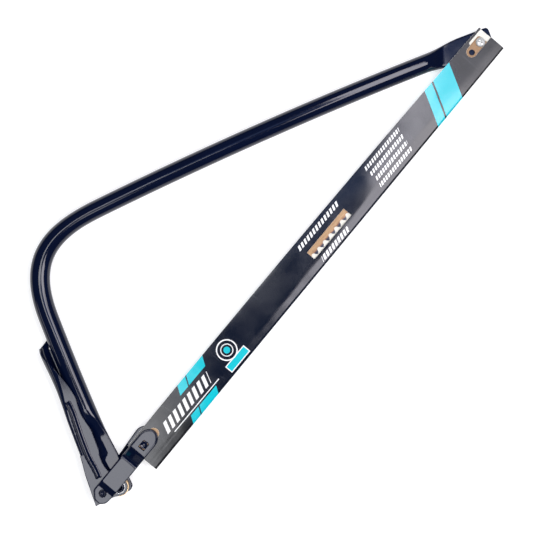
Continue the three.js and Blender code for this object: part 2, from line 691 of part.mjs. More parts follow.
const spacerLow = FOOT.thick / 2 + GAP;
const washerLow = CHEEK_Z + GAP;

const frame = group(
  frameTube(),
  mainRivet(),
  ...bothSides("pivot_spacer", SPACER_R, spacerLow, CHEEK_Z - SHEET - GAP, yellowZinc),
  ...bothSides("rivet_washer", RIVET.washer, washerLow, washerLow + RIVET.washerThick, zinc),
  tipScrew(),
  tipWasher(),
  tipNut(),
);
const lever = group(tensionLever(), linkPin());
const link = group(linkPlate("link_plate_front", 1), linkPlate("link_plate_rear", -1));
const blade = group(toothedBlade(), bladePin(), bladeSleeve());

const saw = group(frame, lever, link, blade);
const box = new THREE.Box3().setFromObject(saw, true);
const middle = box.getCenter(new THREE.Vector3());
saw.position.set(-middle.x, -middle.y, -box.min.z);

export default group(saw);
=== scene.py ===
"""Looks of the bow saw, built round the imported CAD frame.

Lengths are in millimetres from the middle of the blade's pin hole, with +X along the blade
to the tip, +Y towards the bow and +Z up, unless a name or comment says metres.
"""
import functools
import math

import bmesh
import bpy
import numpy as np
from mathutils import Matrix, Vector
from mathutils.geometry import delaunay_2d_cdt


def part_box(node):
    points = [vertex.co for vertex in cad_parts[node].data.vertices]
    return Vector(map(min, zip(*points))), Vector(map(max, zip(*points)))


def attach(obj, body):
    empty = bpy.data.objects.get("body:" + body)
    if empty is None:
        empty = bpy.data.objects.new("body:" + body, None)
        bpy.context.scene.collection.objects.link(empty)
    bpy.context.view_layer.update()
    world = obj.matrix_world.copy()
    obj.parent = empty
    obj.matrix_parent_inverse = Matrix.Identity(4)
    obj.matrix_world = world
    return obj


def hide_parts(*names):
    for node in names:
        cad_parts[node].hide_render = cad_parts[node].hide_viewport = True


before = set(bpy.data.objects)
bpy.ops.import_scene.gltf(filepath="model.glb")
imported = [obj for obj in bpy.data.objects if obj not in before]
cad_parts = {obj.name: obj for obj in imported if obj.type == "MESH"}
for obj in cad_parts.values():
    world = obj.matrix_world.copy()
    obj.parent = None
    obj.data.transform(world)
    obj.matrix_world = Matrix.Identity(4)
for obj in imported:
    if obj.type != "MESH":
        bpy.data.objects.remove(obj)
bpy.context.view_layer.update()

# ---- Driving dimensions, as in the CAD ------------------------------------------------

MM = 0.001
PIN_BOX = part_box("blade_pin")
ORIGIN = (PIN_BOX[0] + PIN_BOX[1]) / 2  # metres: the middle of the blade's pin hole

BLADE_PIN = (0.0, 0.0)
TIP_SCREW = (524.7, -0.4)
MAIN_PIVOT = (-46.5, -7.6)
LINK_PIVOT = (-61.4, 0.9)

TUBE_HEIGHT = 18.6
TUBE_WIDTH_ARM = 18.5
TUBE_WIDTH_GRIP = 20.2
TUBE_WALL = 1.4
FLAT_STEPS = 10  # spaces between the points across each flat side of the tube's section
SKIN = 0.05  # the smooth tube stays this far inside the CAD's outline
SHARP_DEGREES = 40.0  # the tube's faces that meet at more than this have a sharp edge
BEND_START = (36.7, 154.6)
BEND_END = (151.0, 187.3)
BEND_HANDLE = 58.0
GRIP_BOW = (-7.9, 74.5)
ARM_BOW = (342.3, 102.4)
FOOT = dict(thick=3.4, width=24.2, beyond=8.6, corner_from=3.4, flat_to=46.0, round_from=88.0)
FOOT_FLARE = (20.0, 64.0)  # lengths from the pivot over which the extra width fades out
FOOT_DIP = dict(  # the hollow beside the foot's crease, by length from the pivot
    slope=0.4, most=3.0, rise=(16.0, 26.0), fall=(58.0, 76.0), crease=(3.6, -1.5), turn=(30.0, 36.0),
)
GRIP_FADE = (45.0, 120.0)  # lengths past the bend over which the grip's extra width fades out
TIP = dict(  # the spans are lengths from the screw
    top=-1.5, bottom=-5.1, width=24.6, beyond=12.5, corner_from=10.2,
    flare=(22.0, 58.0), top_press=(39.0, 59.0), bottom_press=(30.0, 50.0),
)
TIP_CREASE = dict(skew=0.32, grow=(0.0, 28.0), fade=(54.0, 90.0))
TUBE_HEADING_REACH = 3.0  # the sections face a direction averaged over this much to each side

BLADE_THICK = 0.8
BLADE_BACK = 5.4
BLADE_ROOT = -7.0
BLADE_POINTS = -11.6
BLADE_ENDS = (-4.4, 529.2)
BLADE_CORNER = 3.4
BLADE_HOLE_R = 3.0
HOLE_PITCH = 13.2
FIRST_TOOTH = 12.2
TOOTH_PITCH = 8.8
GULLETS = 57
GULLET_WIDTH = 5.0
GULLET_SHOULDER = 2.6
GULLET_EASE = 0.4
TOOTH_SET = 0.2

SLEEVE_CARD = 0.5
SLEEVE_HALF = 1.2
FOLD_R = 0.5
FOLD_RISE = 10.5  # the panels reach their full height this far from the fold
SLEEVE_ENDS = (-10.8, 535.3)
SLEEVE_BACK = (11.8, 10.0)
SLEEVE_CROWN = 15.2
SLEEVE_SPRING = dict(height=0.7, rise=(40.0, 150.0), fall=(380.0, 470.0), reach=36.0)
SLEEVE_BELLY = dict(height=0.7, rise=(300.0, 350.0), fall=(450.0, 500.0))
SLEEVE_FOLD = (-25.1, -22.2)
SLOT_R = 5.3
SLOT_PAST_HOLE = 2.3
TEETH_WINDOW = (252.0, 309.4, -12.0, -2.0)  # x from, x to, y from, y to
TIP_FLAP = (516.0, 7.8)  # x from, y to
SHEET_SPACING = dict(blade=2.2, sleeve=2.4, lever=0.8, link=0.75)

SHEET = 1.5
CHEEK_Z = 11.0  # the outer face of each cheek
LOBE_R = 8.7
LOBE_TURN = (math.pi + 0.85, 2 * math.pi + 0.2)
DRAIN_HOLE = ((13.2, 134.4), 1.6)  # centre and radius, in the rear side only
HALF_COLUMNS = 34  # spaces between the points from the middle of the web to a rim
WEB_EDGE = ((6.2, 141.9), (0.3, 132.7), (-14.8, 99.7), (-32.7, 68.4), (-47.5, 42))
FRONT_REACH = (  # length along the web and how far the side reaches in from it
    (0, 1), (7, 1), (16, 5.4), (32, 10), (46, 13.8), (58, 16.4), (66, 15.4), (76, 15.6), (93, 19.6),
)
REAR_REACH = ((0, 11), (14, 13), (58, 16.4), (66, 15.4), (76, 15.6), (93, 19.6))
GUTTER_RADIUS = ((0, 11), (30, 9.5), (58, 4.5), (76, 2.6))
END_SLANT = 0.79  # of the rear side's end
SLANT_LENGTH = 24.0
CHEEK_OUTER = ((-59.7, 24.7), (-75.9, -2.3))
CHEEK_TOE = ((-68, -5), (-58.8, -9.4), (-55.5, -11))
CHEEK_INNER = (((-39.9, 3), (-41, 11.3)), ((-39.9, 20), (-34.5, 27.8)))
RIB_LINE = (
    (-15.7, 83.9), (-20.3, 74.2), (-33.1, 53.4), (-43.1, 35.1), (-47.9, 22.9), (-51.6, 15.2),
)
RIB_HEIGHT = 2.0
RIB_OUTER = (-2.4, -0.9)  # across the rib, away from its line, where it climbs on the web's side
RIB_INNER = (0.0, 2.8)  # and where it falls again

LINK_THICK = 1.8
LINK_EDGE = 0.6  # the ease of the rim
LINK_CROWN = (0.25, 2.4)  # how far the rim is pressed down, and over what width
LINK_HALF_WIDTH = 9.8
LINK_MIDDLE = 0.6
LINK_ENDS = (-71.9, 18.2)
LINK_BENDS = (  # x and the height of the under face
    (-80, 11.3), (-56.9, 11.3), (-52.2, 14.8), (-20.2, 14.8), (-9.8, 1.5), (30, 1.5),
)
REAR_LINK_TURN = math.radians(4.4)
BLADE_WINDOW = (4.0, 3.1, 1.0)  # half sizes and corner of the hole over the blade's pin

GAP = 0.3
RIVET = dict(shank=4.0, head=5.8, under=12.4, top=14.3, washer=6.3, bore=3.3)
SPACER_R = 9.4
LINK_PIN = dict(r=3.0, rim=11.7, top=12.5)
BLADE_PIN_R = 2.7
PEG_HEAD_R = 3.9
SCREW = dict(shank=2.6, head=4.75, under=0.7, rim=1.7, top=3.6, end=-11.4)
THREAD = (0.8, 0.32)  # pitch and depth
CROSS = dict(length=7.2, width=1.4, depth=2.8, turn=0.35)  # in the screw's head
NUT = dict(across_flats=8.8, thick=3.6)
TIP_WASHER = dict(r=5.4, thick=0.9)

# ---- Plane geometry -------------------------------------------------------------------


def smoothstep(value, start, end):
    t = np.clip((np.asarray(value, float) - start) / (end - start), 0.0, 1.0)
    return t * t * (3 - 2 * t)


def mix(a, b, share):
    return a + (b - a) * share


def bezier(points, count=800):
    """Points along the Bezier curve with these control points."""
    share = np.linspace(0.0, 1.0, count)[:, None]
    level = [np.asarray(p, float)[None, :] for p in points]
    while len(level) > 1:
        level = [mix(a, b, share) for a, b in zip(level, level[1:])]
    return level[0]


def catmull_rom(points, count=40):
    """A smooth line through the points, with a number of points for each stretch."""
    p = np.asarray([points[0], *points, points[-1]], float)
    share = np.linspace(0.0, 1.0, count, endpoint=False)[:, None]
    stretches = []
    for a, b, c, d in zip(p, p[1:], p[2:], p[3:]):
        lead, trail = (c - a) / 2, (d - b) / 2
        cubic = (2 * b - 2 * c + lead + trail) * share**3
        square = (-3 * b + 3 * c - 2 * lead - trail) * share**2
        stretches.append(cubic + square + lead * share + b)
    return np.vstack([*stretches, p[-1:]])


class Line:
    """A polyline measured along its length."""

    def __init__(self, points):
        self.points = np.asarray(points, float)
        steps = np.linalg.norm(np.diff(self.points, axis=0), axis=1)
        self.along = np.concatenate([[0.0], np.cumsum(steps)])
        self.length = self.along[-1]

    def at(self, along):
        x = np.interp(along, self.along, self.points[:, 0])
        y = np.interp(along, self.along, self.points[:, 1])
        return np.stack([x, y], axis=-1)

    def heading(self, along, reach=0.5):
        after = self.at(np.minimum(np.asarray(along) + reach, self.length))
        before = self.at(np.maximum(np.asarray(along) - reach, 0.0))
        step = after - before
        return step / np.linalg.norm(step, axis=-1, keepdims=True)

    def spaced(self, spacing):
        """Points about one spacing apart, with both ends."""
        count = max(2, int(round(self.length / spacing)) + 1)
        return self.at(np.linspace(0.0, self.length, count))

    def side(self, points):
        """Which side of the line each point is on: +1 to the left of its direction, -1 to the
        right, and a share of it past the line's ends."""
        best = np.full(len(points), np.inf)
        result = np.zeros(len(points))
        for a, b in zip(self.points, self.points[1:]):
            edge = (b - a) / np.linalg.norm(b - a)
            share = np.clip((points - a) @ edge, 0.0, np.linalg.norm(b - a))
            apart = points - (a + share[:, None] * edge)
            away = np.linalg.norm(apart, axis=1)
            across = edge[0] * apart[:, 1] - edge[1] * apart[:, 0]
            nearer = away < best
            result[nearer] = across[nearer] / np.maximum(away[nearer], 1e-9)
            best[nearer] = away[nearer]
        return result

    def distance(self, points):
        """The distance of each point from the line."""
        best = np.full(len(points), np.inf)
        for a, b in zip(self.points, self.points[1:]):
            edge = b - a
            share = np.clip(((points - a) @ edge) / max(edge @ edge, 1e-12), 0.0, 1.0)
            best = np.minimum(best, np.linalg.norm(points - (a + share[:, None] * edge), axis=1))
        return best


def arc(centre, radius, start, end, count):
    turn = np.linspace(start, end, count)
    return np.stack([centre[0] + radius * np.cos(turn), centre[1] + radius * np.sin(turn)], axis=1)


def circle(centre, radius, count=48):
    return arc(centre, radius, 0.0, 2 * math.pi, count + 1)[:-1]


def eased(corners, steps=5):
    """A closed outline whose corners are rounded by each corner's third number."""
    outline = []
    for i, (x, y, radius) in enumerate(corners):
        corner = np.array([x, y], float)
        before = np.array(corners[i - 1][:2], float) - corner
        after = np.array(corners[(i + 1) % len(corners)][:2], float) - corner
        start = corner + before / np.linalg.norm(before) * radius
        end = corner + after / np.linalg.norm(after) * radius
        outline.append(bezier([start, corner, end], steps) if radius else corner[None, :])
    return np.vstack(outline)


def closed(outline, spacing):
    """The outline with points added so that none are further apart than the spacing."""
    points = []
    for a, b in zip(outline, np.roll(outline, -1, axis=0)):
        steps = max(1, int(math.ceil(np.linalg.norm(b - a) / spacing)))
        points.extend(a + (b - a) * i / steps for i in range(steps))
    return np.array(points)


def inside(points, loops):
    """Whether each point is in the area between the loops, by the even-odd rule."""
    result = np.zeros(len(points), bool)
    px, py = points[:, 0], points[:, 1]
    for loop in loops:
        for (x0, y0), (x1, y1) in zip(loop, np.roll(loop, -1, axis=0)):
            if y0 == y1:
                continue
            crosses = (y0 > py) != (y1 > py)
            result ^= crosses & (px < (x1 - x0) * (py - y0) / (y1 - y0) + x0)
    return result


# ---- Meshes ---------------------------------------------------------------------------


def flat_sheet(loops, spacing, clear=0.45):
    """Triangles that fill the area between closed loops, with a grid of points inside it."""
    corner, far = np.min(loops[0], axis=0), np.max(loops[0], axis=0)
    columns = np.arange(corner[0], far[0], spacing)
    rows = np.arange(corner[1], far[1], spacing * 0.87)
    grid = np.array([(x + spacing / 2 * (j % 2), y) for j, y in enumerate(rows) for x in columns])
    grid = grid[inside(grid, loops)]
    far_off = np.ones(len(grid), bool)
    for loop in loops:
        far_off &= Line(np.vstack([loop, loop[:1]])).distance(grid) > clear * spacing
    points, edges = [], []
    for loop in loops:
        first, count = len(points), len(loop)
        points.extend(map(tuple, loop))
        edges.extend((first + i, first + (i + 1) % count) for i in range(count))
    points.extend(map(tuple, grid[far_off]))
    made, _, faces, *_ = delaunay_2d_cdt([Vector(p) for p in points], edges, [], 1, 1e-6)
    verts = np.array([tuple(v) for v in made], float)
    triangles = np.array([f for f in faces if len(f) == 3], int)
    middles = verts[triangles].mean(axis=1)
    triangles = triangles[inside(middles, loops)]
    a, b, c = (verts[triangles[:, i]] for i in range(3))
    area = (b[:, 0] - a[:, 0]) * (c[:, 1] - a[:, 1]) - (b[:, 1] - a[:, 1]) * (c[:, 0] - a[:, 0])
    triangles[area < 0] = triangles[area < 0][:, ::-1]
    return verts, triangles


def vertex_normals(verts, triangles):
    a, b, c = (verts[triangles[:, i]] for i in range(3))
    face = np.cross(b - a, c - a)
    normals = np.zeros_like(verts)
    for i in range(3):
        np.add.at(normals, triangles[:, i], face)
    return normals / np.maximum(np.linalg.norm(normals, axis=1, keepdims=True), 1e-12)


def sheet_solid(verts, triangles, thickness, edge):
    """A closed solid with eased rims, from the triangles of a sheet's outer face. It gives
    back the points, the faces, and whether each face is inside or on a rim."""
    used = np.unique(triangles)
    renumber = -np.ones(len(verts), int)
    renumber[used] = np.arange(len(used))
    verts, triangles = verts[used], renumber[triangles]
    normals = vertex_normals(verts, triangles)
    sides = np.vstack([triangles[:, [0, 1]], triangles[:, [1, 2]], triangles[:, [2, 0]]])
    known = set(map(tuple, sides))
    rim = np.array([side for side in map(tuple, sides) if side[::-1] not in known], int)
    outward = np.zeros_like(verts)
    for end in (0, 1):
        along = verts[rim[:, 1]] - verts[rim[:, 0]]
        along /= np.linalg.norm(along, axis=1, keepdims=True)
        np.add.at(outward, rim[:, end], np.cross(along, normals[rim[:, end]]))
    on_rim = np.unique(rim)
    length = np.linalg.norm(outward[on_rim], axis=1, keepdims=True)
    outward[on_rim] /= np.maximum(length, 1e-9)
    outward[on_rim] *= np.clip(2 / np.maximum(length, 1e-9), 1.0, 1.6)
    slack = edge * (1 - math.sqrt(0.5))
    profile = [(-slack, slack), (0.0, edge), (0.0, thickness - edge), (-slack, thickness - slack)]
    outer = verts - outward * edge
    inner = verts - outward * edge - normals * thickness
    points, count = [outer, inner], len(verts)
    layer_of = -np.ones(count, int)
    layer_of[on_rim] = np.arange(len(on_rim))
    starts = []
    for out, depth in profile:
        starts.append(2 * count + len(starts) * len(on_rim))
        points.append(verts[on_rim] + outward[on_rim] * out - normals[on_rim] * depth)
    ring = [lambda v: v] + [lambda v, s=s: s + layer_of[v] for s in starts]
    ring.append(lambda v: count + v)
    faces = [tuple(t) for t in triangles] + [tuple(count + t[::-1]) for t in triangles]
    hidden = [False] * len(triangles) + [True] * len(triangles)
    for a, b in rim:
        for upper, lower in zip(ring, ring[1:]):
            faces.append((upper(b), upper(a), lower(a), lower(b)))
            hidden.append(True)
    return np.vstack(points), faces, hidden


def grid_triangles(rows, columns):
    """The triangles of a grid of points in row order."""
    index = np.arange(rows * columns).reshape(rows, columns)
    a, b = index[:-1, :-1].ravel(), index[1:, :-1].ravel()
    c, d = index[1:, 1:].ravel(), index[:-1, 1:].ravel()
    return np.vstack([np.stack([a, b, c], axis=1), np.stack([a, c, d], axis=1)])


def weld(parts, reach=1e-4):
    """Joins (points, triangles) parts, with points that coincide made one."""
    verts = np.vstack([v for v, _ in parts])
    starts = np.cumsum([0] + [len(v) for v, _ in parts[:-1]])
    triangles = np.vstack([t + start for (_, t), start in zip(parts, starts)])
    keys = np.round(verts / reach).astype(np.int64)
    _, first, back = np.unique(keys, axis=0, return_index=True, return_inverse=True)
    triangles = back.reshape(-1)[triangles]
    whole = (triangles[:, 0] != triangles[:, 1]) & (triangles[:, 1] != triangles[:, 2])
    whole &= triangles[:, 0] != triangles[:, 2]
    return verts[first], triangles[whole]


def looped_faces(levels, sides):
    """Quads between closed rows of points, with the last row joined to the first."""
    a = np.arange(levels * sides).reshape(levels, sides)
    b, d = np.roll(a, -1, axis=1), np.roll(a, -1, axis=0)
    return np.stack([a, b, np.roll(b, -1, axis=0), d], axis=-1).reshape(-1, 4)


def turned(profile, sides=64):
    """A turned solid about Z from (radius, height) points that start and end on the axis."""
    points, rings = [], []
    for radius, height in profile:
        if radius < 1e-9:
            rings.append([len(points)] * sides)
            points.append((0.0, 0.0, height))
            continue
        rings.append(list(range(len(points), len(points) + sides)))
        points.extend((*p, height) for p in circle((0, 0), radius, sides))
    faces = []
    for lower, upper in zip(rings, rings[1:]):
        for i in range(sides):
            j = (i + 1) % sides
            quad = [lower[i], lower[j], upper[j], upper[i]]
            faces.append(tuple(dict.fromkeys(quad)))
    return np.array(points), faces


def ring_solid(outer, inner, low, high, edge=0.12, sides=64):
    """A washer about Z with eased edges."""
    profile = [
        (inner, low + edge), (inner + edge, low), (outer - edge, low), (outer, low + edge),
        (outer, high - edge), (outer - edge, high), (inner + edge, high), (inner, high - edge),
    ]
    points = np.vstack([np.c_[circle((0, 0), r, sides), np.full(sides, z)] for r, z in profile])
    return points, looped_faces(len(profile), sides)


def in_scene(name, data):
    """A Blender object made from data and linked to the scene."""
    made = bpy.data.objects.new(name, data)
    bpy.context.scene.collection.objects.link(made)
    return made


def mesh_of(name, points, faces, centre=(0, 0)):
    """A Blender mesh from points in millimetres round a centre."""
    moved = (np.asarray(points) + np.array([*centre, 0.0])) * MM + np.array(ORIGIN)
    mesh = bpy.data.meshes.new(name)
    mesh.from_pydata([tuple(p) for p in moved], [], [tuple(map(int, f)) for f in faces])
    return mesh


def make_object(name, points, faces, body, node, slot, second=None, centre=(0, 0)):
    """A piece that stands for a CAD node and rides on its body. It takes the slot's finish, and
    second gives another finish and which faces have it."""
    mesh = mesh_of(name, points, faces, centre)
    mesh.materials.append(FINISHES[slot])
    if second:
        finish, chosen = second
        mesh.materials.append(finish)
        mesh.polygons.foreach_set("material_index", np.array(chosen, np.int32))
    mesh.polygons.foreach_set("use_smooth", np.ones(len(faces), bool))
    mesh.validate()
    piece = in_scene(name, mesh)
    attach(piece, body)
    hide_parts(node)
    return piece


def apply_modifiers(piece):
    """Makes the modified mesh the piece's own."""
    depsgraph = bpy.context.evaluated_depsgraph_get()
    final = bpy.data.meshes.new_from_object(piece.evaluated_get(depsgraph))
    final.name = piece.name
    piece.modifiers.clear()
    piece.data = final


def cutter(name, centre, radius, low=-20.0, high=20.0, sides=40):
    """A plain cylinder that cuts a hole, and is then thrown away."""
    points, faces = turned([(0, low), (radius, low), (radius, high), (0, high)], sides)
    return in_scene(name, mesh_of(name, points, faces, centre))


def drill(piece, cutters):
    """Cuts the cutters' shapes out of a piece, and throws the cutters away."""
    for tool in cutters:
        boolean = piece.modifiers.new("drill", "BOOLEAN")
        boolean.operation = "DIFFERENCE"
        boolean.solver = "MANIFOLD"
        boolean.object = tool
    apply_modifiers(piece)
    for tool in cutters:
        bpy.data.objects.remove(tool)


def even_shading(piece):
    """Shades large faces flat right up to their eased edges."""
    weighted = piece.modifiers.new("even", "WEIGHTED_NORMAL")
    weighted.mode = "FACE_AREA"
    weighted.weight = 80
    apply_modifiers(piece)


# ---- Materials ------------------------------------------------------------------------


class Graph:
    """A material's node tree, with short calls for the nodes used here."""

    def __init__(self, name):
        self.material = bpy.data.materials.new(name)
        self.material.use_nodes = True
        self.tree = self.material.node_tree
        self.shader = self.tree.nodes["Principled BSDF"]
        place = self.add("ShaderNodeTexCoord").outputs["Object"]
        scaled = self.add("ShaderNodeMapping", {0: place})
        scaled.inputs["Scale"].default_value = (1 / MM,) * 3
        scaled.inputs["Location"].default_value = [-c / MM for c in ORIGIN]
        self.place = scaled.outputs[0]
        split = self.add("ShaderNodeSeparateXYZ", {0: self.place})
        self.x, self.y, self.z = split.outputs

    def add(self, kind, inputs=None, **settings):
        node = self.tree.nodes.new(kind)
        for key, value in settings.items():
            setattr(node, key, value)
        for key, value in (inputs or {}).items():
            if isinstance(value, bpy.types.NodeSocket):
                self.tree.links.new(value, node.inputs[key])
            else:
                node.inputs[key].default_value = value
        return node

    def math(self, operation, a, b=0.0, c=0.0, clamp=False):
        node = self.add("ShaderNodeMath", {0: a, 1: b, 2: c}, operation=operation, use_clamp=clamp)
        return node.outputs[0]

    def noise(self, size, detail=3.0, stretch=(1, 1, 1), roughness=0.5):
        """Noise whose features are about this many millimetres across, stretched by axis."""
        scale = [1 / s for s in stretch]
        place = self.add("ShaderNodeMapping", {0: self.place, "Scale": scale}).outputs[0]
        inputs = {"Vector": place, "Scale": 1 / size, "Detail": detail, "Roughness": roughness}
        return self.add("ShaderNodeTexNoise", inputs).outputs["Fac"]

    def ramp(self, value, start, end, low=0.0, high=1.0):
        inputs = {"Value": value, "From Min": start, "From Max": end, "To Min": low, "To Max": high}
        return self.add("ShaderNodeMapRange", inputs, clamp=True).outputs[0]

    def blend(self, share, a, b):
        node = self.add("ShaderNodeMix", data_type="RGBA")
        for socket, value in zip((node.inputs[0], node.inputs[6], node.inputs[7]), (share, a, b)):
            if isinstance(value, bpy.types.NodeSocket):
                self.tree.links.new(value, socket)
            elif isinstance(value, (int, float)):
                socket.default_value = value
            else:
                socket.default_value = (*value, 1.0)
        return node.outputs[2]

    def tint(self, colour, mask, share, other):
        """The colour, with a share of the other one where the mask is full."""
        return self.blend(self.math("MULTIPLY", mask, share), colour, other)

    def between(self, value, low, high):
        above = self.math("GREATER_THAN", value, low)
        return self.math("MULTIPLY", above, self.math("LESS_THAN", value, high))

    def sum(self, masks):
        """The union of masks."""
        return functools.reduce(lambda whole, mask: self.math("MAXIMUM", whole, mask), masks)

    def all(self, masks):
        """The overlap of masks."""
        return functools.reduce(lambda whole, mask: self.math("MULTIPLY", whole, mask), masks)

    def bump(self, heights):
        """A chain of bumps from (height, depth in millimetres, strength)."""
        normal = None
        for height, depth, strength in heights:
            inputs = {"Height": height, "Distance": depth * MM, "Strength": strength}
            if normal is not None:
                inputs["Normal"] = normal
            normal = self.add("ShaderNodeBump", inputs).outputs[0]
        self.set("Normal", normal)

    def set(self, name, value):
        socket = self.shader.inputs[name]
        if isinstance(value, bpy.types.NodeSocket):
            self.tree.links.new(value, socket)
        else:
            socket.default_value = value

    def worn_edges(self, start, end, size=2.5):
        """Broken patches on outside corners."""
        pointed = self.add("ShaderNodeNewGeometry").outputs["Pointiness"]
        patches = self.ramp(self.noise(size, 4.0), 0.46, 0.62)
        return self.math("MULTIPLY", self.ramp(pointed, start, end), patches)


def navy_paint():
    g = Graph("navy_paint")
    cloud = g.noise(45.0, 2.0)
    fine = g.noise(0.9, 2.0)
    colour = g.blend(cloud, (0.0008, 0.0028, 0.0150), (0.0016, 0.0045, 0.0220))
    colour = g.blend(g.ramp(fine, 0.62, 0.8, 0.0, 0.15), colour, (0.010, 0.014, 0.032))
    wear = g.worn_edges(0.58, 0.70)
    colour = g.tint(colour, wear, 0.35, (0.30, 0.30, 0.32))
    g.set("Base Color", colour)
    smudges = g.ramp(g.noise(16.0, 4.0), 0.35, 0.75, 0.06, 0.11)
    g.set("Roughness", g.math("ADD", smudges, g.math("MULTIPLY", wear, 0.2)))
    g.set("IOR", 1.5)
    g.bump([(g.noise(5.0, 2.0), 0.010, 0.5), (g.noise(0.5, 1.0), 0.0015, 0.4)])
    return g.material


def bright_zinc():
    g = Graph("bright_zinc")
    cloud = g.noise(2.2, 3.0)
    colour = g.blend(cloud, (0.90, 0.90, 0.87), (0.74, 0.75, 0.74))
    tarnish = g.ramp(g.noise(0.8, 4.0), 0.58, 0.75)
    g.set("Base Color", g.tint(colour, tarnish, 0.5, (0.36, 0.35, 0.31)))
    g.set("Metallic", 0.55)
    g.set("Roughness", g.ramp(cloud, 0.3, 0.7, 0.24, 0.40))
    g.bump([(g.noise(0.35, 3.0), 0.01, 0.6), (g.noise(1.8, 1.0), 0.03, 0.5)])
    return g.material


def yellow_zinc():
    g = Graph("yellow_zinc")
    cloud = g.noise(3.0, 3.0)
    colour = g.blend(cloud, (0.86, 0.66, 0.36), (0.80, 0.52, 0.28))
    rainbow = g.ramp(g.noise(1.6, 2.0), 0.55, 0.8)
    g.set("Base Color", g.tint(colour, rainbow, 0.35, (0.70, 0.58, 0.50)))
    g.set("Metallic", 0.5)
    g.set("Roughness", g.ramp(cloud, 0.3, 0.7, 0.25, 0.42))
    g.bump([(g.noise(0.3, 2.0), 0.01, 0.6)])
    return g.material


def lacquered_steel():
    g = Graph("lacquered_steel")
    brushed = g.noise(0.5, 4.0, (30, 1, 1))
    cloud = g.noise(14.0, 3.0, (3, 1, 1))
    colour = g.blend(cloud, (0.25, 0.14, 0.055), (0.33, 0.20, 0.10))
    colour = g.blend(g.ramp(brushed, 0.35, 0.7, 0.0, 0.5), colour, (0.44, 0.30, 0.17))
    colour = g.blend(g.ramp(g.x, 300, 500, 0.0, 0.65), colour, (0.15, 0.080, 0.030))
    wavering = g.math("MULTIPLY_ADD", g.noise(3.0, 2.0), 1.6, g.y)
    straw = g.ramp(wavering, BLADE_ROOT + 1.4, BLADE_ROOT + 0.2)
    colour = g.tint(colour, straw, 0.7, (0.25, 0.10, 0.05))
    hard = g.ramp(wavering, BLADE_ROOT + 0.4, BLADE_ROOT - 1.0)
    colour = g.blend(hard, colour, (0.012, 0.016, 0.035))
    points = g.ramp(g.y, BLADE_POINTS + 0.5, BLADE_POINTS + 0.05)
    g.set("Base Color", g.tint(colour, points, 0.8, (0.75, 0.70, 0.60)))
    g.set("Metallic", g.ramp(hard, 0.0, 1.0, 0.55, 0.35))
    g.set("Roughness", g.ramp(brushed, 0.3, 0.7, 0.28, 0.42))
    g.set("Coat Weight", 0.35)
    g.set("Coat Roughness", 0.15)
    g.bump([(brushed, 0.01, 0.7), (g.noise(0.25, 2.0), 0.004, 0.5)])
    return g.material


CYAN = (0.0, 0.52, 0.60)
WHITE_INK = (0.88, 0.88, 0.86)
BAND_SLANT = 0.68
BANDS_BY_BACK = (3.6, (58.8, 70.9), (72.4, 97.6))  # y from, then where each band lies
BANDS_BY_FOLD = (-17.2, (64.6, 76.2), (77.8, 103.8))  # y to, then the same
TIP_BAND_SLANT = 0.556
TIP_BANDS = ((458.4, 483.0), (445.2, 456.2))
HATCH_SLANT = 0.5
HATCHES = (  # x from, x to, y from, y to, pitch, and the stroke's share of the pitch
    (28.0, 97.0, -11.6, -0.6, 7.4, 0.56), (245.5, 307.0, 4.0, 8.8, 4.4, 0.6),
    (266.0, 306.0, -20.6, -15.6, 4.4, 0.6), (349.0, 402.0, 4.6, 8.4, 3.4, 0.6),
    (353.0, 404.0, -2.6, 1.2, 3.4, 0.6), (356.0, 405.0, -9.8, -6.0, 3.4, 0.6),
    (358.0, 408.0, -17.0, -13.2, 3.4, 0.6),
)
UNDERLINE = (30.0, 99.0, -15.6, -14.6)  # x from, x to, y from, y to
BADGE = (126.1, -2.8)
BADGE_RINGS = ((9.6, 10.9), (5.6, 6.5))
BADGE_MIDDLE_R = 3.4
PANEL = (112.0, 140.5, -21.4, -12.4)
LABEL = (113.0, 139.5, -20.4, -13.4)


def slanted(g, slant):
    """X measured along lines that lean towards the tip as they rise."""
    return g.math("MULTIPLY_ADD", g.y, -slant, g.x)


def rectangle(g, x0, x1, y0, y1):
    return g.all([g.between(g.x, x0, x1), g.between(g.y, y0, y1)])


def hatched(g, x0, x1, y0, y1, pitch, share):
    """A row of slanted strokes, which fills the place of a line of lettering."""
    leaning = slanted(g, HATCH_SLANT)
    stroke = g.math("LESS_THAN", g.math("FRACT", g.math("DIVIDE", leaning, pitch)), share)
    return g.all([stroke, g.between(leaning, x0, x1), g.between(g.y, y0, y1)])


def cyan_bands(g):
    """The slanted bands near both ends of the sleeve."""
    tip = slanted(g, TIP_BAND_SLANT)
    masks = [g.between(tip, *band) for band in TIP_BANDS]
    leaning = slanted(g, BAND_SLANT)
    for kind, (limit, *bands) in (("GREATER_THAN", BANDS_BY_BACK), ("LESS_THAN", BANDS_BY_FOLD)):
        side = g.math(kind, g.y, limit)
        masks.extend(g.math("MULTIPLY", side, g.between(leaning, *band)) for band in bands)
    return g.sum(masks)


def badge(g):
    """A plain roundel: its white rings, and its middle."""
    dx, dy = g.math("SUBTRACT", g.x, BADGE[0]), g.math("SUBTRACT", g.y, BADGE[1])
    squares = g.math("ADD", g.math("MULTIPLY", dx, dx), g.math("MULTIPLY", dy, dy))
    radius = g.math("SQRT", squares)
    rings = g.sum([g.between(radius, *ring) for ring in BADGE_RINGS])
    return rings, g.math("LESS_THAN", radius, BADGE_MIDDLE_R)


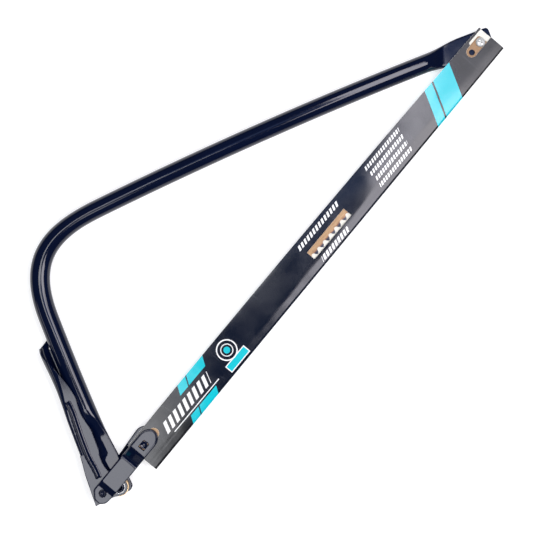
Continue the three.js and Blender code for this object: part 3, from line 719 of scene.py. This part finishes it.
def printed_card():
    g = Graph("printed_card")
    front = g.math("GREATER_THAN", g.z, 0.0)
    middle = g.math("MULTIPLY", g.ramp(g.x, 35, 80), g.ramp(g.x, 430, 330))
    colour = g.blend(middle, (0.0060, 0.0064, 0.0075), (0.0020, 0.0050, 0.0160))
    rings, centre = badge(g)
    panel, label = rectangle(g, *PANEL), rectangle(g, *LABEL)
    cyan = g.sum([cyan_bands(g), g.all([front, g.sum([label, centre])])])
    rows = [rectangle(g, *UNDERLINE), *[hatched(g, *row) for row in HATCHES]]
    outline = g.math("SUBTRACT", panel, label, clamp=True)
    ink = g.all([front, g.sum([rings, outline, *rows])])
    colour = g.blend(cyan, colour, CYAN)
    colour = g.blend(ink, colour, WHITE_INK)
    fibres = g.noise(1.3, 4.0, (3, 1, 1))
    colour = g.blend(g.ramp(fibres, 0.55, 0.8, 0.0, 0.03), colour, (0.25, 0.26, 0.28))
    scuffs = g.ramp(g.noise(5.0, 5.0, (1, 6, 1)), 0.62, 0.72)
    colour = g.tint(colour, scuffs, 0.02, (0.55, 0.55, 0.55))
    g.set("Base Color", colour)
    handled = g.ramp(g.x, 455, 495, 0.0, 0.16)
    g.set("Roughness", g.math("ADD", g.ramp(g.noise(22.0, 3.0), 0.3, 0.7, 0.10, 0.18), handled))
    g.set("IOR", 1.5)
    g.bump([(g.noise(26.0, 1.0, (1, 2, 1)), 0.6, 0.35), (fibres, 0.01, 0.6)])
    return g.material


def bare_card():
    g = Graph("bare_card")
    fibres = g.noise(0.8, 5.0, (4, 1, 1))
    g.set("Base Color", g.blend(fibres, (0.86, 0.84, 0.76), (0.74, 0.72, 0.65)))
    g.set("Roughness", g.ramp(fibres, 0.3, 0.7, 0.7, 0.9))
    g.bump([(fibres, 0.03, 0.6)])
    return g.material


KINDS = (navy_paint, bright_zinc, yellow_zinc, lacquered_steel, printed_card)
FINISHES = {kind.__name__: kind() for kind in KINDS}
BARE = bare_card()

# ---- Bow ------------------------------------------------------------------------------


def bow_line():
    pivot, tip = np.array(MAIN_PIVOT), np.array(TIP_SCREW)
    grip, arm = np.array(GRIP_BOW), np.array(ARM_BOW)
    start, end = np.array(BEND_START), np.array(BEND_END)
    into = (start - grip) / np.linalg.norm(start - grip)
    out = (arm - end) / np.linalg.norm(arm - end)
    foot = (grip - pivot) / np.linalg.norm(grip - pivot)
    nose = (tip - arm) / np.linalg.norm(tip - arm)
    bend = [start, start + into * BEND_HANDLE, end - out * BEND_HANDLE, end]
    stretches = [
        [pivot - foot * FOOT["beyond"], pivot], bezier([pivot, grip, start]), bezier(bend),
        bezier([end, arm, tip]), [tip, tip + nose * TIP["beyond"]],
    ]
    return Line(np.vstack([np.asarray(s)[1 if i else 0 :] for i, s in enumerate(stretches)]))


def bow_section(line, along):
    """Half width, top, bottom and slant of the section at lengths along the bow."""
    from_pivot = along - FOOT["beyond"]
    from_tip = line.length - TIP["beyond"] - along
    to_bend = math.dist(BEND_START, MAIN_PIVOT)
    grip = 1 - smoothstep(from_pivot - to_bend, *GRIP_FADE)
    foot = 1 - smoothstep(from_pivot, FOOT["flat_to"], FOOT["round_from"])
    flare = 1 - smoothstep(from_pivot, *FOOT_FLARE)
    tip_flare = 1 - smoothstep(from_tip, *TIP["flare"])
    half = mix(TUBE_WIDTH_ARM, TUBE_WIDTH_GRIP, grip) / 2
    half = mix(half, FOOT["width"] / 2, flare)
    half = mix(half, TIP["width"] / 2, tip_flare)
    for end, away, spare in ((FOOT, from_pivot, 1.4), (TIP, from_tip, 1.6)):
        rounded = end["beyond"] - end["corner_from"] + spare
        half = half * np.sqrt(1 - (np.maximum(0.0, -away - end["corner_from"]) / rounded) ** 2)
    height = mix(TUBE_HEIGHT / 2, FOOT["thick"] / 2, foot)
    top = mix(height, TIP["top"], 1 - smoothstep(from_tip, *TIP["top_press"]))
    bottom = mix(-height, TIP["bottom"], 1 - smoothstep(from_tip, *TIP["bottom_press"]))
    slant = smoothstep(from_tip, *TIP_CREASE["grow"]) - smoothstep(from_tip, *TIP_CREASE["fade"])
    return half, top, bottom, TIP_CREASE["skew"] * slant


def foot_dip(from_pivot, lateral):
    """How far the flattened end is pressed down beside its crease, on the side of the blade."""
    crease = mix(*FOOT_DIP["crease"], smoothstep(from_pivot, *FOOT_DIP["turn"]))
    past = np.maximum(0.0, lateral - crease)
    depth = FOOT_DIP["most"] * np.tanh(past * FOOT_DIP["slope"] / FOOT_DIP["most"])
    start = smoothstep(from_pivot, *FOOT_DIP["rise"])
    return depth * start * (1 - smoothstep(from_pivot, *FOOT_DIP["fall"]))


def bow_rings(line, stations, inset, half_sides=24):
    """Points of the sweep's sections: one row for each station, in order round the tube."""
    half, top, bottom, skew = (v[:, None] for v in bow_section(line, stations))
    half, top, bottom = half - inset, top - inset, bottom + inset
    turn = np.linspace(0, math.pi, half_sides + 1)
    end, middle = np.ones(half_sides + 1), np.linspace(1, -1, FLAT_STEPS + 1)[1:-1]
    none, full = np.zeros_like(middle), np.ones_like(middle)
    side = np.concatenate([end, middle, -end, -middle])[None, :]
    across = np.concatenate([np.sin(turn), none, -np.sin(turn), none])[None, :]
    up = np.concatenate([np.cos(turn), -full, -np.cos(turn), full])[None, :]
    radius = (top - bottom) / 2
    straight = np.maximum(half - radius, 0.12)
    straight = mix(0.12, straight, smoothstep(straight, 0.9, 3.0))
    lateral = side * straight + across * (half - straight)
    ahead = skew * lateral
    centre = line.at(stations)[:, None, :]
    heading = line.heading(stations, TUBE_HEADING_REACH)[:, None, :]
    x = centre[..., 0] - heading[..., 1] * lateral + heading[..., 0] * ahead
    y = centre[..., 1] + heading[..., 0] * lateral + heading[..., 1] * ahead
    z = (top + bottom) / 2 + up * radius
    z = z - foot_dip(stations[:, None] - FOOT["beyond"], lateral)
    return np.stack([x, y, z * np.ones_like(x)], axis=-1)


def frame_tube():
    line = bow_line()
    dense = [np.arange(0.0, 120.0, 1.2), np.arange(120.0, line.length - 130, 3.0)]
    stations = np.concatenate([*dense, np.arange(line.length - 130, line.length, 1.0), [line.length]])
    end = 0.35
    outer = bow_rings(line, stations, SKIN)
    outer[0] = bow_rings(line, stations[:1], end)[0]
    outer[-1] = bow_rings(line, stations[-1:], end)[0]
    outer = np.insert(outer, 1, bow_rings(line, stations[:1] + end, SKIN)[0], axis=0)
    outer = np.insert(outer, -1, bow_rings(line, stations[-1:] - end, SKIN)[0], axis=0)
    inner = bow_rings(line, stations, TUBE_WALL)[::-1]
    loop = np.concatenate([outer, inner])
    faces = looped_faces(*loop.shape[:2])[:, [0, 3, 2, 1]]
    piece = make_object("bow_tube", loop.reshape(-1, 3), faces, "frame", "frame_tube", "navy_paint")
    drill(piece, [
        cutter("pivot_drill", MAIN_PIVOT, RIVET["shank"] + GAP),
        cutter("screw_drill", TIP_SCREW, SCREW["shank"] + GAP),
    ])
    piece.data.set_sharp_from_angle(angle=math.radians(SHARP_DEGREES))


# ---- Tension lever --------------------------------------------------------------------

WEB_LINE = Line(catmull_rom(WEB_EDGE))
RIB = Line(catmull_rom(RIB_LINE, 10))
EASE_REACH = 3.0  # lengths are averaged over this much to each side


def read_along(pairs, key):
    """A value read from [key, value] pairs and smoothed."""
    keys, values = zip(*pairs)
    offsets = np.linspace(-EASE_REACH, EASE_REACH, 7)
    return float(np.mean([np.interp(key + offset, keys, values) for offset in offsets]))


def gutter_chain(reach, radius, lengths):
    """How far in from the web's edge and how high the outer face is, at lengths round the
    section from the middle of the web."""
    wall = CHEEK_Z - radius
    turn = math.acos(max(0.0, 1 - reach / radius))
    inward, up = [], []
    for length in lengths:
        if length <= wall:
            inward.append(0.0)
            up.append(length)
            continue
        angle = min((length - wall) / radius, turn)
        rest = length - wall - angle * radius
        inward.append(radius * (1 - math.cos(angle)) + rest)
        up.append(wall + radius * math.sin(angle))
    return np.array(inward), np.array(up)


def chain_length(reach, radius):
    turn = math.acos(max(0.0, 1 - reach / radius))
    return CHEEK_Z - radius + turn * radius + max(0.0, reach - radius)


def gutter_row(along, count):
    """One row of points from the rear rim, round the web, to the front rim."""
    edge, down = WEB_LINE.at(along), WEB_LINE.heading(along)
    radius = read_along(GUTTER_RADIUS, along)
    halves = []
    for side, pairs in ((-1, REAR_REACH), (1, FRONT_REACH)):
        reach = read_along(pairs, along)
        lengths = np.linspace(0.0, chain_length(reach, radius), count + 1)
        inward, up = gutter_chain(reach, radius, lengths)
        slant = END_SLANT * (1 - smoothstep(along, 0, SLANT_LENGTH)) if side < 0 else 0.0
        back = slant * inward
        x = edge[0] - down[1] * inward - down[0] * back
        y = edge[1] + down[0] * inward - down[1] * back
        halves.append(np.stack([x, y, side * up], axis=1))
    rear, front = halves
    return np.vstack([rear[::-1], front[1:]])


def emboss(points, side):
    """Raises the rib from a flat cheek."""
    away = RIB.distance(points[:, :2])
    offset = away * RIB.side(points[:, :2])
    inner = 1 - np.clip((offset - RIB_INNER[0]) / (RIB_INNER[1] - RIB_INNER[0]), 0, 1)
    outer = np.clip((offset - RIB_OUTER[0]) / (RIB_OUTER[1] - RIB_OUTER[0]), 0, 1)
    ends = 1 - smoothstep(away - np.abs(offset), 0.0, 1.0)
    flat = smoothstep(side * points[:, 2], CHEEK_Z - 2.5, CHEEK_Z - 0.2)
    points[:, 2] += side * RIB_HEIGHT * inner * outer * ends * flat
    return points


def cheek_loops(row):
    """The cheek below the web: its outline, closed along the last row of the gutter."""
    ax, ay = MAIN_PIVOT
    start, end = LOBE_TURN
    lobe_start = (ax + LOBE_R * math.cos(start), ay + LOBE_R * math.sin(start))
    lobe_end = (ax + LOBE_R * math.cos(end), ay + LOBE_R * math.sin(end))
    toe_pull, toe, heel_pull = CHEEK_TOE
    (pull1, waist), (pull2, shoulder) = CHEEK_INNER
    outer = [WEB_EDGE[-1], *CHEEK_OUTER]
    edge = [
        Line(outer).spaced(SHEET_SPACING["lever"]), bezier([outer[-1], toe_pull, toe], 16)[1:],
        bezier([toe, heel_pull, lobe_start], 8)[1:], arc(MAIN_PIVOT, LOBE_R, start, end, 28)[1:],
        bezier([lobe_end, pull1, waist], 18)[1:], bezier([waist, pull2, shoulder], 18)[1:],
    ]
    return np.vstack([*edge, row])


def tension_lever():
    spacing = SHEET_SPACING["lever"]
    stations = np.linspace(0.0, WEB_LINE.length, int(WEB_LINE.length / spacing))
    rows = np.array([gutter_row(along, HALF_COLUMNS) for along in stations])
    parts = [(emboss_both(rows.reshape(-1, 3)), grid_triangles(*rows.shape[:2]))]
    last = rows[-1]
    for side in (-1, 1):
        chain = last[: HALF_COLUMNS + 1][::-1] if side < 0 else last[HALF_COLUMNS:]
        flat = chain[np.abs(chain[:, 2]) > CHEEK_Z - 0.02]
        outline = cheek_loops(flat[::-1, :2])
        holes = [
            circle(MAIN_PIVOT, RIVET["shank"] + GAP, 40), circle(LINK_PIVOT, LINK_PIN["r"] + GAP, 36),
        ]
        verts, triangles = flat_sheet([outline, *holes], spacing)
        points = np.c_[verts, np.full(len(verts), side * CHEEK_Z)]
        if side < 0:
            triangles = triangles[:, ::-1]
        parts.append((emboss(points, side), triangles))
    verts, triangles = weld(parts, 1e-3)
    points, faces, _ = sheet_solid(verts, triangles, SHEET, 0.3)
    piece = make_object("lever", points, faces, "lever", "tension_lever", "navy_paint")
    drill(piece, [cutter("drain_drill", *DRAIN_HOLE, high=0.0)])
    even_shading(piece)


def emboss_both(points):
    for side in (-1, 1):
        chosen = side * points[:, 2] > 0
        points[chosen] = emboss(points[chosen], side)
    return points


# ---- Link plates ----------------------------------------------------------------------


def link_profile(x):
    """Height of the plate's under face, with rounded bends, and its slope."""
    knots, heights = zip(*LINK_BENDS)
    ease = np.linspace(-0.9, 0.9, 9)
    height = np.mean([np.interp(x + e, knots, heights) for e in ease], axis=0)
    ahead = np.mean([np.interp(x + 0.05 + e, knots, heights) for e in ease], axis=0)
    return height, (ahead - height) / 0.05


def link_plate(name, side):
    low, high = LINK_MIDDLE - LINK_HALF_WIDTH, LINK_MIDDLE + LINK_HALF_WIDTH
    rear, nose = LINK_ENDS
    outline = eased([
        (-58, low, 1), (nose - 6.6, low, 5), (nose, LINK_MIDDLE - 3.2, 3),
        (nose, LINK_MIDDLE + 3.2, 3), (nose - 6.6, high, 5), (rear + 7.3, high, 2),
        (rear, LINK_MIDDLE + 3, 2.4), (rear, LINK_MIDDLE - 4.2, 2.4), (rear + 4.6, low + 0.9, 2.4),
    ])
    spacing = SHEET_SPACING["link"]
    half_x, half_y, corner = BLADE_WINDOW
    window = eased([
        (-half_x, -half_y, corner), (half_x, -half_y, corner), (half_x, half_y, corner),
        (-half_x, half_y, corner),
    ], 4)
    turn = Matrix.Rotation(REAR_LINK_TURN if side < 0 else 0.0, 2)
    pivot = np.array(LINK_PIVOT)
    unturned = (window - pivot) @ np.array(turn) + pivot
    hole = circle(LINK_PIVOT, LINK_PIN["r"] + GAP, 36)
    verts, triangles = flat_sheet([closed(outline, spacing), hole, closed(unturned, spacing)], spacing)
    height, slope = link_profile(verts[:, 0])
    lean = 1 / np.sqrt(1 + slope**2)
    x = verts[:, 0] - slope * lean * LINK_THICK
    x = np.where(np.abs(slope) > 1e-3, x, verts[:, 0])
    drop, width = LINK_CROWN
    from_rim = Line(np.vstack([outline, outline[:1]])).distance(verts)
    z = height + lean * LINK_THICK - drop * (1 - np.minimum(from_rim / width, 1)) ** 2
    flat = (np.c_[x, verts[:, 1]] - pivot) @ np.array(turn).T + pivot
    points = np.c_[flat, side * z]
    if side < 0:
        triangles = triangles[:, ::-1]
    points, faces, _ = sheet_solid(points, triangles, LINK_THICK, LINK_EDGE)
    top = max(z for _, z in LINK_BENDS) + LINK_THICK - 0.01
    points[:, 2] = np.clip(points[:, 2], -top, top)
    even_shading(make_object(name + "_visual", points, faces, "link", name, "navy_paint"))


# ---- Blade and sleeve -----------------------------------------------------------------


def blade_outline():
    start, end = BLADE_ENDS
    half, root, shoulder = GULLET_WIDTH / 2, BLADE_ROOT, BLADE_ROOT - GULLET_SHOULDER
    back, below = BLADE_BACK, BLADE_BACK - BLADE_CORNER
    points = [*bezier([(start + BLADE_CORNER, back), (start, back), (start, below)], 8), (start, root)]
    for i in range(GULLETS):
        middle = FIRST_TOOTH + (i + 0.5) * TOOTH_PITCH
        left, right = middle - half, middle + half
        points.append((middle - TOOTH_PITCH / 2, BLADE_POINTS))
        points.extend(bezier([(left, shoulder), (left + GULLET_EASE, root), (middle, root)], 5))
        points.extend(bezier([(middle, root), (right - GULLET_EASE, root), (right, shoulder)], 5)[1:])
    points.extend([(FIRST_TOOTH + GULLETS * TOOTH_PITCH, BLADE_POINTS), (end, root)])
    points.extend(bezier([(end, below), (end, back), (end - BLADE_CORNER, back)], 8))
    return np.array(points)


def toothed_blade():
    tip_x, tip_y = TIP_SCREW
    centres = [BLADE_PIN, (HOLE_PITCH, 0.0), TIP_SCREW, (tip_x - HOLE_PITCH, tip_y)]
    spacing = SHEET_SPACING["blade"]
    loops = [closed(blade_outline(), spacing), *[circle(c, BLADE_HOLE_R, 32) for c in centres]]
    verts, triangles = flat_sheet(loops, spacing)
    depth = smoothstep(-verts[:, 1], -BLADE_ROOT, -BLADE_POINTS)
    tooth = np.round((verts[:, 0] - FIRST_TOOTH) / TOOTH_PITCH).astype(int)
    bent = TOOTH_SET * depth * np.where(tooth % 2 == 0, 1.0, -1.0)
    points = np.c_[verts, BLADE_THICK / 2 + bent]
    points, faces, _ = sheet_solid(points, triangles, BLADE_THICK, 0.1)
    even_shading(make_object("toothed_blade", points, faces, "blade", "blade", "lacquered_steel"))


def fold_y(x):
    start, end = SLEEVE_ENDS
    return np.interp(x, [start, end], SLEEVE_FOLD)


def back_y(x):
    start, end = SLEEVE_ENDS
    share = (np.asarray(x, float) - start) / (end - start)
    first, last = SLEEVE_BACK
    return (1 - share) ** 2 * first + 2 * share * (1 - share) * SLEEVE_CROWN + share**2 * last


def pattern(points, side):
    """Points on a panel, carried onto the unfolded card: the fold is the line y = 0."""
    points = np.asarray(points, float)
    quarter = FOLD_R * (math.pi / 2 - 1)
    return np.c_[points[:, 0], side * (points[:, 1] - fold_y(points[:, 0]) + quarter)]


def round_end(x, turn, count=17):
    """A half circle at the end of a slot, from its turn away from +X."""
    return arc((x, 0), SLOT_R, turn - math.pi / 2, turn + math.pi / 2, count)


def slot(x0, x1):
    return np.vstack([round_end(x1, 0), round_end(x0, math.pi)])


def card_bow(x, y, side):
    """How far the panels spring apart, away from the fasteners at both ends."""
    spring, belly = (
        smoothstep(x, *span["rise"]) * (1 - smoothstep(x, *span["fall"]))
        for span in (SLEEVE_SPRING, SLEEVE_BELLY)
    )
    across = np.clip((y - fold_y(x)) / SLEEVE_SPRING["reach"], 0, 1)
    swell = 0.25 * np.sin(x / 61) * np.sin(x / 143 + 1) + 0.12 * np.sin(x / 37 + 2)
    bulge = SLEEVE_BELLY["height"] * belly * 4 * across * (1 - across)
    return (spring * across * (SLEEVE_SPRING["height"] + swell) + bulge) * (1.0 if side > 0 else 0.5)


def blade_sleeve():
    start, end = SLEEVE_ENDS
    tip_x = TIP_SCREW[0]
    flap_x, flap_high = TIP_FLAP
    flap = [
        (end, flap_high), (flap_x + 1, flap_high), (flap_x, flap_high - 1), (flap_x, SLOT_R),
        *round_end(tip_x - HOLE_PITCH, math.pi), (end, -SLOT_R),
    ]
    pin_end = HOLE_PITCH + SLOT_PAST_HOLE
    mouth = [(start, -SLOT_R), *round_end(pin_end, 0, 21), (start, SLOT_R)]
    across = np.linspace(start, end, 90)
    back = list(zip(across, back_y(across)))
    rear_back = [(x, y - 0.4) for x, y in back[::-1]]
    start_low, end_low = ((x, float(fold_y(x)) + 2.0) for x in (start, end))
    wavy = [
        (end + 0.5 * math.sin(6.5 * w) * w * (1 - w), mix(end_low[1], rear_back[0][1], w))
        for w in np.linspace(0, 1, 14)[1:-1]
    ]
    front = [start_low, *mouth, *back, *flap, end_low]
    rear = [end_low, *wavy, *rear_back, start_low]
    outline = np.vstack([pattern(front, 1), pattern(rear, -1)])
    x0, x1, y0, y1 = TEETH_WINDOW
    window = eased([(x, y, 0.5) for x, y in ((x0, y0), (x1, y0), (x1, y1), (x0, y1))], 3)
    holes = [
        pattern(closed(window, 2.0), 1), pattern(slot(0.0, pin_end), -1),
        pattern(slot(tip_x - HOLE_PITCH, tip_x), -1),
    ]
    spacing = SHEET_SPACING["sleeve"]
    verts, triangles = flat_sheet([closed(outline, spacing), *holes], spacing, 0.5)
    turn = math.pi / 2 * FOLD_R
    side = np.where(verts[:, 1] >= 0, 1.0, -1.0)
    length = np.abs(verts[:, 1])
    angle = np.minimum(length, turn) / FOLD_R
    y = fold_y(verts[:, 0]) + FOLD_R * (1 - np.cos(angle)) + np.maximum(length - turn, 0.0)
    z = FOLD_R * np.sin(angle) + (SLEEVE_HALF - FOLD_R) * smoothstep(length, turn, FOLD_RISE)
    z += np.where(side > 0, card_bow(verts[:, 0], y, 1), card_bow(verts[:, 0], y, -1))
    points = np.c_[verts[:, 0], y, side * z]
    points, faces, hidden = sheet_solid(points, triangles, SLEEVE_CARD, 0.08)
    even_shading(make_object(
        "card_sleeve", points, faces, "blade", "blade_sleeve", "printed_card", second=(BARE, hidden)
    ))


# ---- Pins, rivet, screw and nut -------------------------------------------------------


def dome(radius, low, high, steps=8):
    turn = np.linspace(0.0, math.pi / 2, steps + 1)
    round_part = [(radius * math.cos(t), low + (high - low) * math.sin(t)) for t in turn[:-1]]
    return [*round_part, (0.0, high)]


def rolled_end(radius, rim, top, bottom):
    """The upper end of a pin: a rolled rim round a conical hollow."""
    roll = [(radius, rim), (radius - 0.15, top - 0.1), (radius - 0.4, top), (radius - 0.7, top - 0.05)]
    return roll + [(radius - 1.0, top - 0.35), (0.0, bottom)]


def mirrored(profile):
    """The profile with its mirror image below."""
    return [(r, -z) for r, z in profile[::-1]] + profile


def turned_piece(name, profile, centre, body, node):
    even_shading(make_object(name, *turned(profile), body, node, "navy_paint", centre=centre))


def main_rivet():
    shank, head, under = RIVET["shank"], RIVET["head"], RIVET["under"]
    top, bore = RIVET["top"], RIVET["bore"]
    rim = [(shank, under), (head - 0.15, under), (head, under + 0.2), (head - 0.1, under + 0.6)]
    roll = [(head - 0.6, top - 0.35), (bore + 0.9, top), (bore + 0.3, top - 0.15), (bore, top - 0.6)]
    profile = mirrored(rim + roll + [(bore - 0.1, top - 5.0), (0.0, top - 5.2)])
    turned_piece("rivet", profile, MAIN_PIVOT, "frame", "main_rivet")


def rings():
    """The washers under the rivet's heads and the collars beside the flattened tube."""
    inner = RIVET["shank"] + GAP
    spacer = (FOOT["thick"] / 2 + GAP, CHEEK_Z - SHEET - GAP)
    washer = (CHEEK_Z + GAP, RIVET["under"] - GAP)
    kinds = (
        ("pivot_spacer", SPACER_R, spacer, "yellow_zinc"),
        ("rivet_washer", RIVET["washer"], washer, "bright_zinc"),
    )
    for name, outer, (low, high), slot_name in kinds:
        for end, bottom, top in (("front", low, high), ("rear", -high, -low)):
            points, faces = ring_solid(outer, inner, bottom, top)
            node = name + "_" + end
            even_shading(make_object(
                node + "_visual", points, faces, "frame", node, slot_name, centre=MAIN_PIVOT
            ))


def pins():
    radius, top = LINK_PIN["r"], LINK_PIN["top"]
    profile = mirrored([(radius, 0.0)] + rolled_end(radius, LINK_PIN["rim"], top, top - 1.6))
    turned_piece("link_rivet", profile, LINK_PIVOT, "lever", "link_pin")
    ledge, head = BLADE_THICK / 2 + 0.05, PEG_HEAD_R
    peg = mirrored([(BLADE_PIN_R, ledge), (head, ledge)] + rolled_end(head, 0.9, SLEEVE_HALF, 0.1))
    turned_piece("blade_peg", peg, BLADE_PIN, "blade", "blade_pin")


def tip_screw():
    shank, head = SCREW["shank"], SCREW["head"]
    pitch, depth = THREAD
    thread = []
    height = SCREW["end"] + 0.6
    while height < TIP["bottom"] - 2.0:
        thread.extend([(shank - depth, height), (shank, height + pitch / 2)])
        height += pitch
    stem = [(0.0, SCREW["end"]), (shank - 0.5, SCREW["end"]), *thread, (shank, TIP["bottom"])]
    rim = [(shank, SCREW["under"]), (head - 0.2, SCREW["under"]), (head, SCREW["under"] + 0.2)]
    profile = [*stem, *rim, *dome(head, SCREW["rim"], SCREW["top"], 10)]
    piece = make_object(
        "cross_screw", *turned(profile, 72), "frame", "tip_screw", "bright_zinc", centre=TIP_SCREW
    )
    drill(piece, [cross_arm(CROSS["turn"] + quarter) for quarter in (0, math.pi / 2)])
    even_shading(piece)


def cross_arm(turn):
    """A tapered bar that cuts one arm of the cross in the screw's head."""
    mesh = bpy.data.meshes.new("cross_arm")
    form = bmesh.new()
    bmesh.ops.create_cube(form, size=1.0)
    for vertex in form.verts:
        low = vertex.co.z < 0
        vertex.co.x *= CROSS["length"] * (0.45 if low else 1.0)
        vertex.co.y *= CROSS["width"] * (0.7 if low else 1.0)
        vertex.co.z *= 2 * CROSS["depth"]
    bmesh.ops.rotate(form, verts=form.verts, matrix=Matrix.Rotation(turn, 3, "Z"))
    for vertex in form.verts:
        centred = vertex.co + Vector((*TIP_SCREW, SCREW["top"]))
        vertex.co = ORIGIN + centred * MM
    form.to_mesh(mesh)
    form.free()
    return in_scene("cross_arm", mesh)


def tip_nut():
    high = TIP["bottom"] - 2 * GAP - TIP_WASHER["thick"]
    low = high - NUT["thick"]
    flat = NUT["across_flats"] / 2
    sides = 72
    turn = np.arange(sides) * 2 * math.pi / sides
    six = flat / np.cos((turn + math.pi / 6) % (math.pi / 3) - math.pi / 6)
    inner = SCREW["shank"] + GAP
    chamfer = np.clip((six - flat * 1.02) * 0.577, 0.0, 1.0)
    face = np.minimum(six, flat * 0.98)
    rows = [
        (inner, low + 0.3), (inner + 0.4, low), (face, low), (six, low + 0.15 + chamfer),
        (six, high - 0.15 - chamfer), (face, high), (inner + 0.4, high), (inner, high - 0.3),
    ]
    one = np.ones(sides)
    points = np.vstack([np.c_[r * np.cos(turn), r * np.sin(turn), z * one] for r, z in rows])
    top = TIP["bottom"] - GAP
    nut = (points, looped_faces(len(rows), sides))
    washer = ring_solid(TIP_WASHER["r"], inner, top - TIP_WASHER["thick"], top)
    for name, node, made in (("hex_nut", "tip_nut", nut), ("nut_washer", "tip_washer", washer)):
        even_shading(make_object(name, *made, "frame", node, "bright_zinc", centre=TIP_SCREW))


# ---- Stage, light and camera ----------------------------------------------------------

CAMERA_FOOT = (215.6, 20.2)
CAMERA_HEIGHT = 1600.0
CAMERA_LENS = 108.07
IMAGE_RIGHT = Vector((0.6405, -0.768, 0.0)).normalized()
IMAGE_UP = Vector((0.768, 0.6405, 0.0)).normalized()


def above(right, up, height):
    """A place in metres, in millimetres to the right of and above the picture's middle."""
    foot = ORIGIN + Vector((*CAMERA_FOOT, 0.0)) * MM
    return foot + (IMAGE_RIGHT * right + IMAGE_UP * up + Vector((0, 0, height))) * MM


def stage_floor():
    half, z = 6.0, -0.0006  # metres
    mesh = bpy.data.meshes.new("floor")
    corners = [(-half, -half, z), (half, -half, z), (half, half, z), (-half, half, z)]
    mesh.from_pydata(corners, [], [(0, 1, 2, 3)])
    g = Graph("pale_floor")
    g.set("Base Color", g.blend(g.noise(300.0, 2.0), (0.60, 0.60, 0.60), (0.63, 0.63, 0.63)))
    g.set("Roughness", 1.0)
    g.set("Specular IOR Level", 0.0)
    g.set("Emission Color", (1.0, 1.0, 1.0, 1.0))
    g.set("Emission Strength", 0.55)
    mesh.materials.append(g.material)
    in_scene("floor", mesh)


def panel_light(name, place, size, radiance, colour=(1, 1, 1), spin=(1, 0), glossy=True):
    """A soft rectangular light that faces down, with its width along a direction of the picture."""
    light = bpy.data.lights.new(name, "AREA")
    light.shape = "RECTANGLE"
    light.size, light.size_y = (s * MM for s in size)
    light.energy = radiance * math.pi * light.size * light.size_y
    light.color = colour
    lamp = in_scene(name, light)
    back = Vector((0, 0, 1))
    side = (IMAGE_RIGHT * spin[0] + IMAGE_UP * spin[1]).normalized()
    rise = back.cross(side)
    lamp.matrix_world = Matrix.Translation(place) @ Matrix((side, rise, back)).transposed().to_4x4()
    lamp.visible_glossy = glossy


def studio():
    arm = (0.907, 0.42)  # the long arm's direction in the picture
    rosy, cool = (1.0, 0.965, 1.03), (0.97, 0.98, 1.03)
    panel_light("right_panel", above(800, -80, 1600), (1000, 550), 7.0, rosy)
    panel_light("upper_panel", above(205, 455, 1600), (210, 1150), 7.0, rosy, spin=arm)
    panel_light("right_upper_panel", above(850, 290, 1600), (900, 190), 4.5, rosy)
    panel_light("bend_strip", above(-330, 108, 1600), (280, 80), 9.0, spin=arm)
    panel_light("bridge_strip", above(-270, -40, 1600), (640, 70), 6.0)
    panel_light("lower_left_panel", above(-334, -520, 1600), (342, 570), 5.2, cool)
    panel_light("fold_panel", above(-60, -620, 1600), (200, 330), 5.0, cool)
    panel_light("left_strip", above(-1350, -630, 400), (420, 620), 2.5, (0.97, 0.98, 1.05))
    panel_light("arm_sky", above(117, 312, 1700), (1000, 520), 0.72, (0.36, 0.53, 1.0), spin=arm)
    panel_light("fill", above(0, 0, 2300), (2400, 2400), 1.95, glossy=False)
    world = bpy.data.worlds.new("studio")
    world.use_nodes = True
    background = world.node_tree.nodes["Background"]
    background.inputs[0].default_value = (0.70, 0.84, 1.0, 1.0)
    background.inputs[1].default_value = 0.07
    bpy.context.scene.world = world


def camera():
    data = bpy.data.cameras.new("camera")
    data.sensor_width = 36.0
    data.lens = CAMERA_LENS
    data.clip_start = 0.01
    viewer = in_scene("camera", data)
    axes = Matrix((IMAGE_RIGHT, IMAGE_UP, Vector((0, 0, 1)))).transposed().to_4x4()
    viewer.matrix_world = Matrix.Translation(above(0, 0, CAMERA_HEIGHT)) @ axes
    bpy.context.scene.camera = viewer


camera()
stage_floor()
studio()
frame_tube()
tension_lever()
link_plate("link_plate_front", 1)
link_plate("link_plate_rear", -1)
toothed_blade()
blade_sleeve()
main_rivet()
rings()
pins()
tip_screw()
tip_nut()
bpy.context.scene.view_settings.view_transform = "Standard"
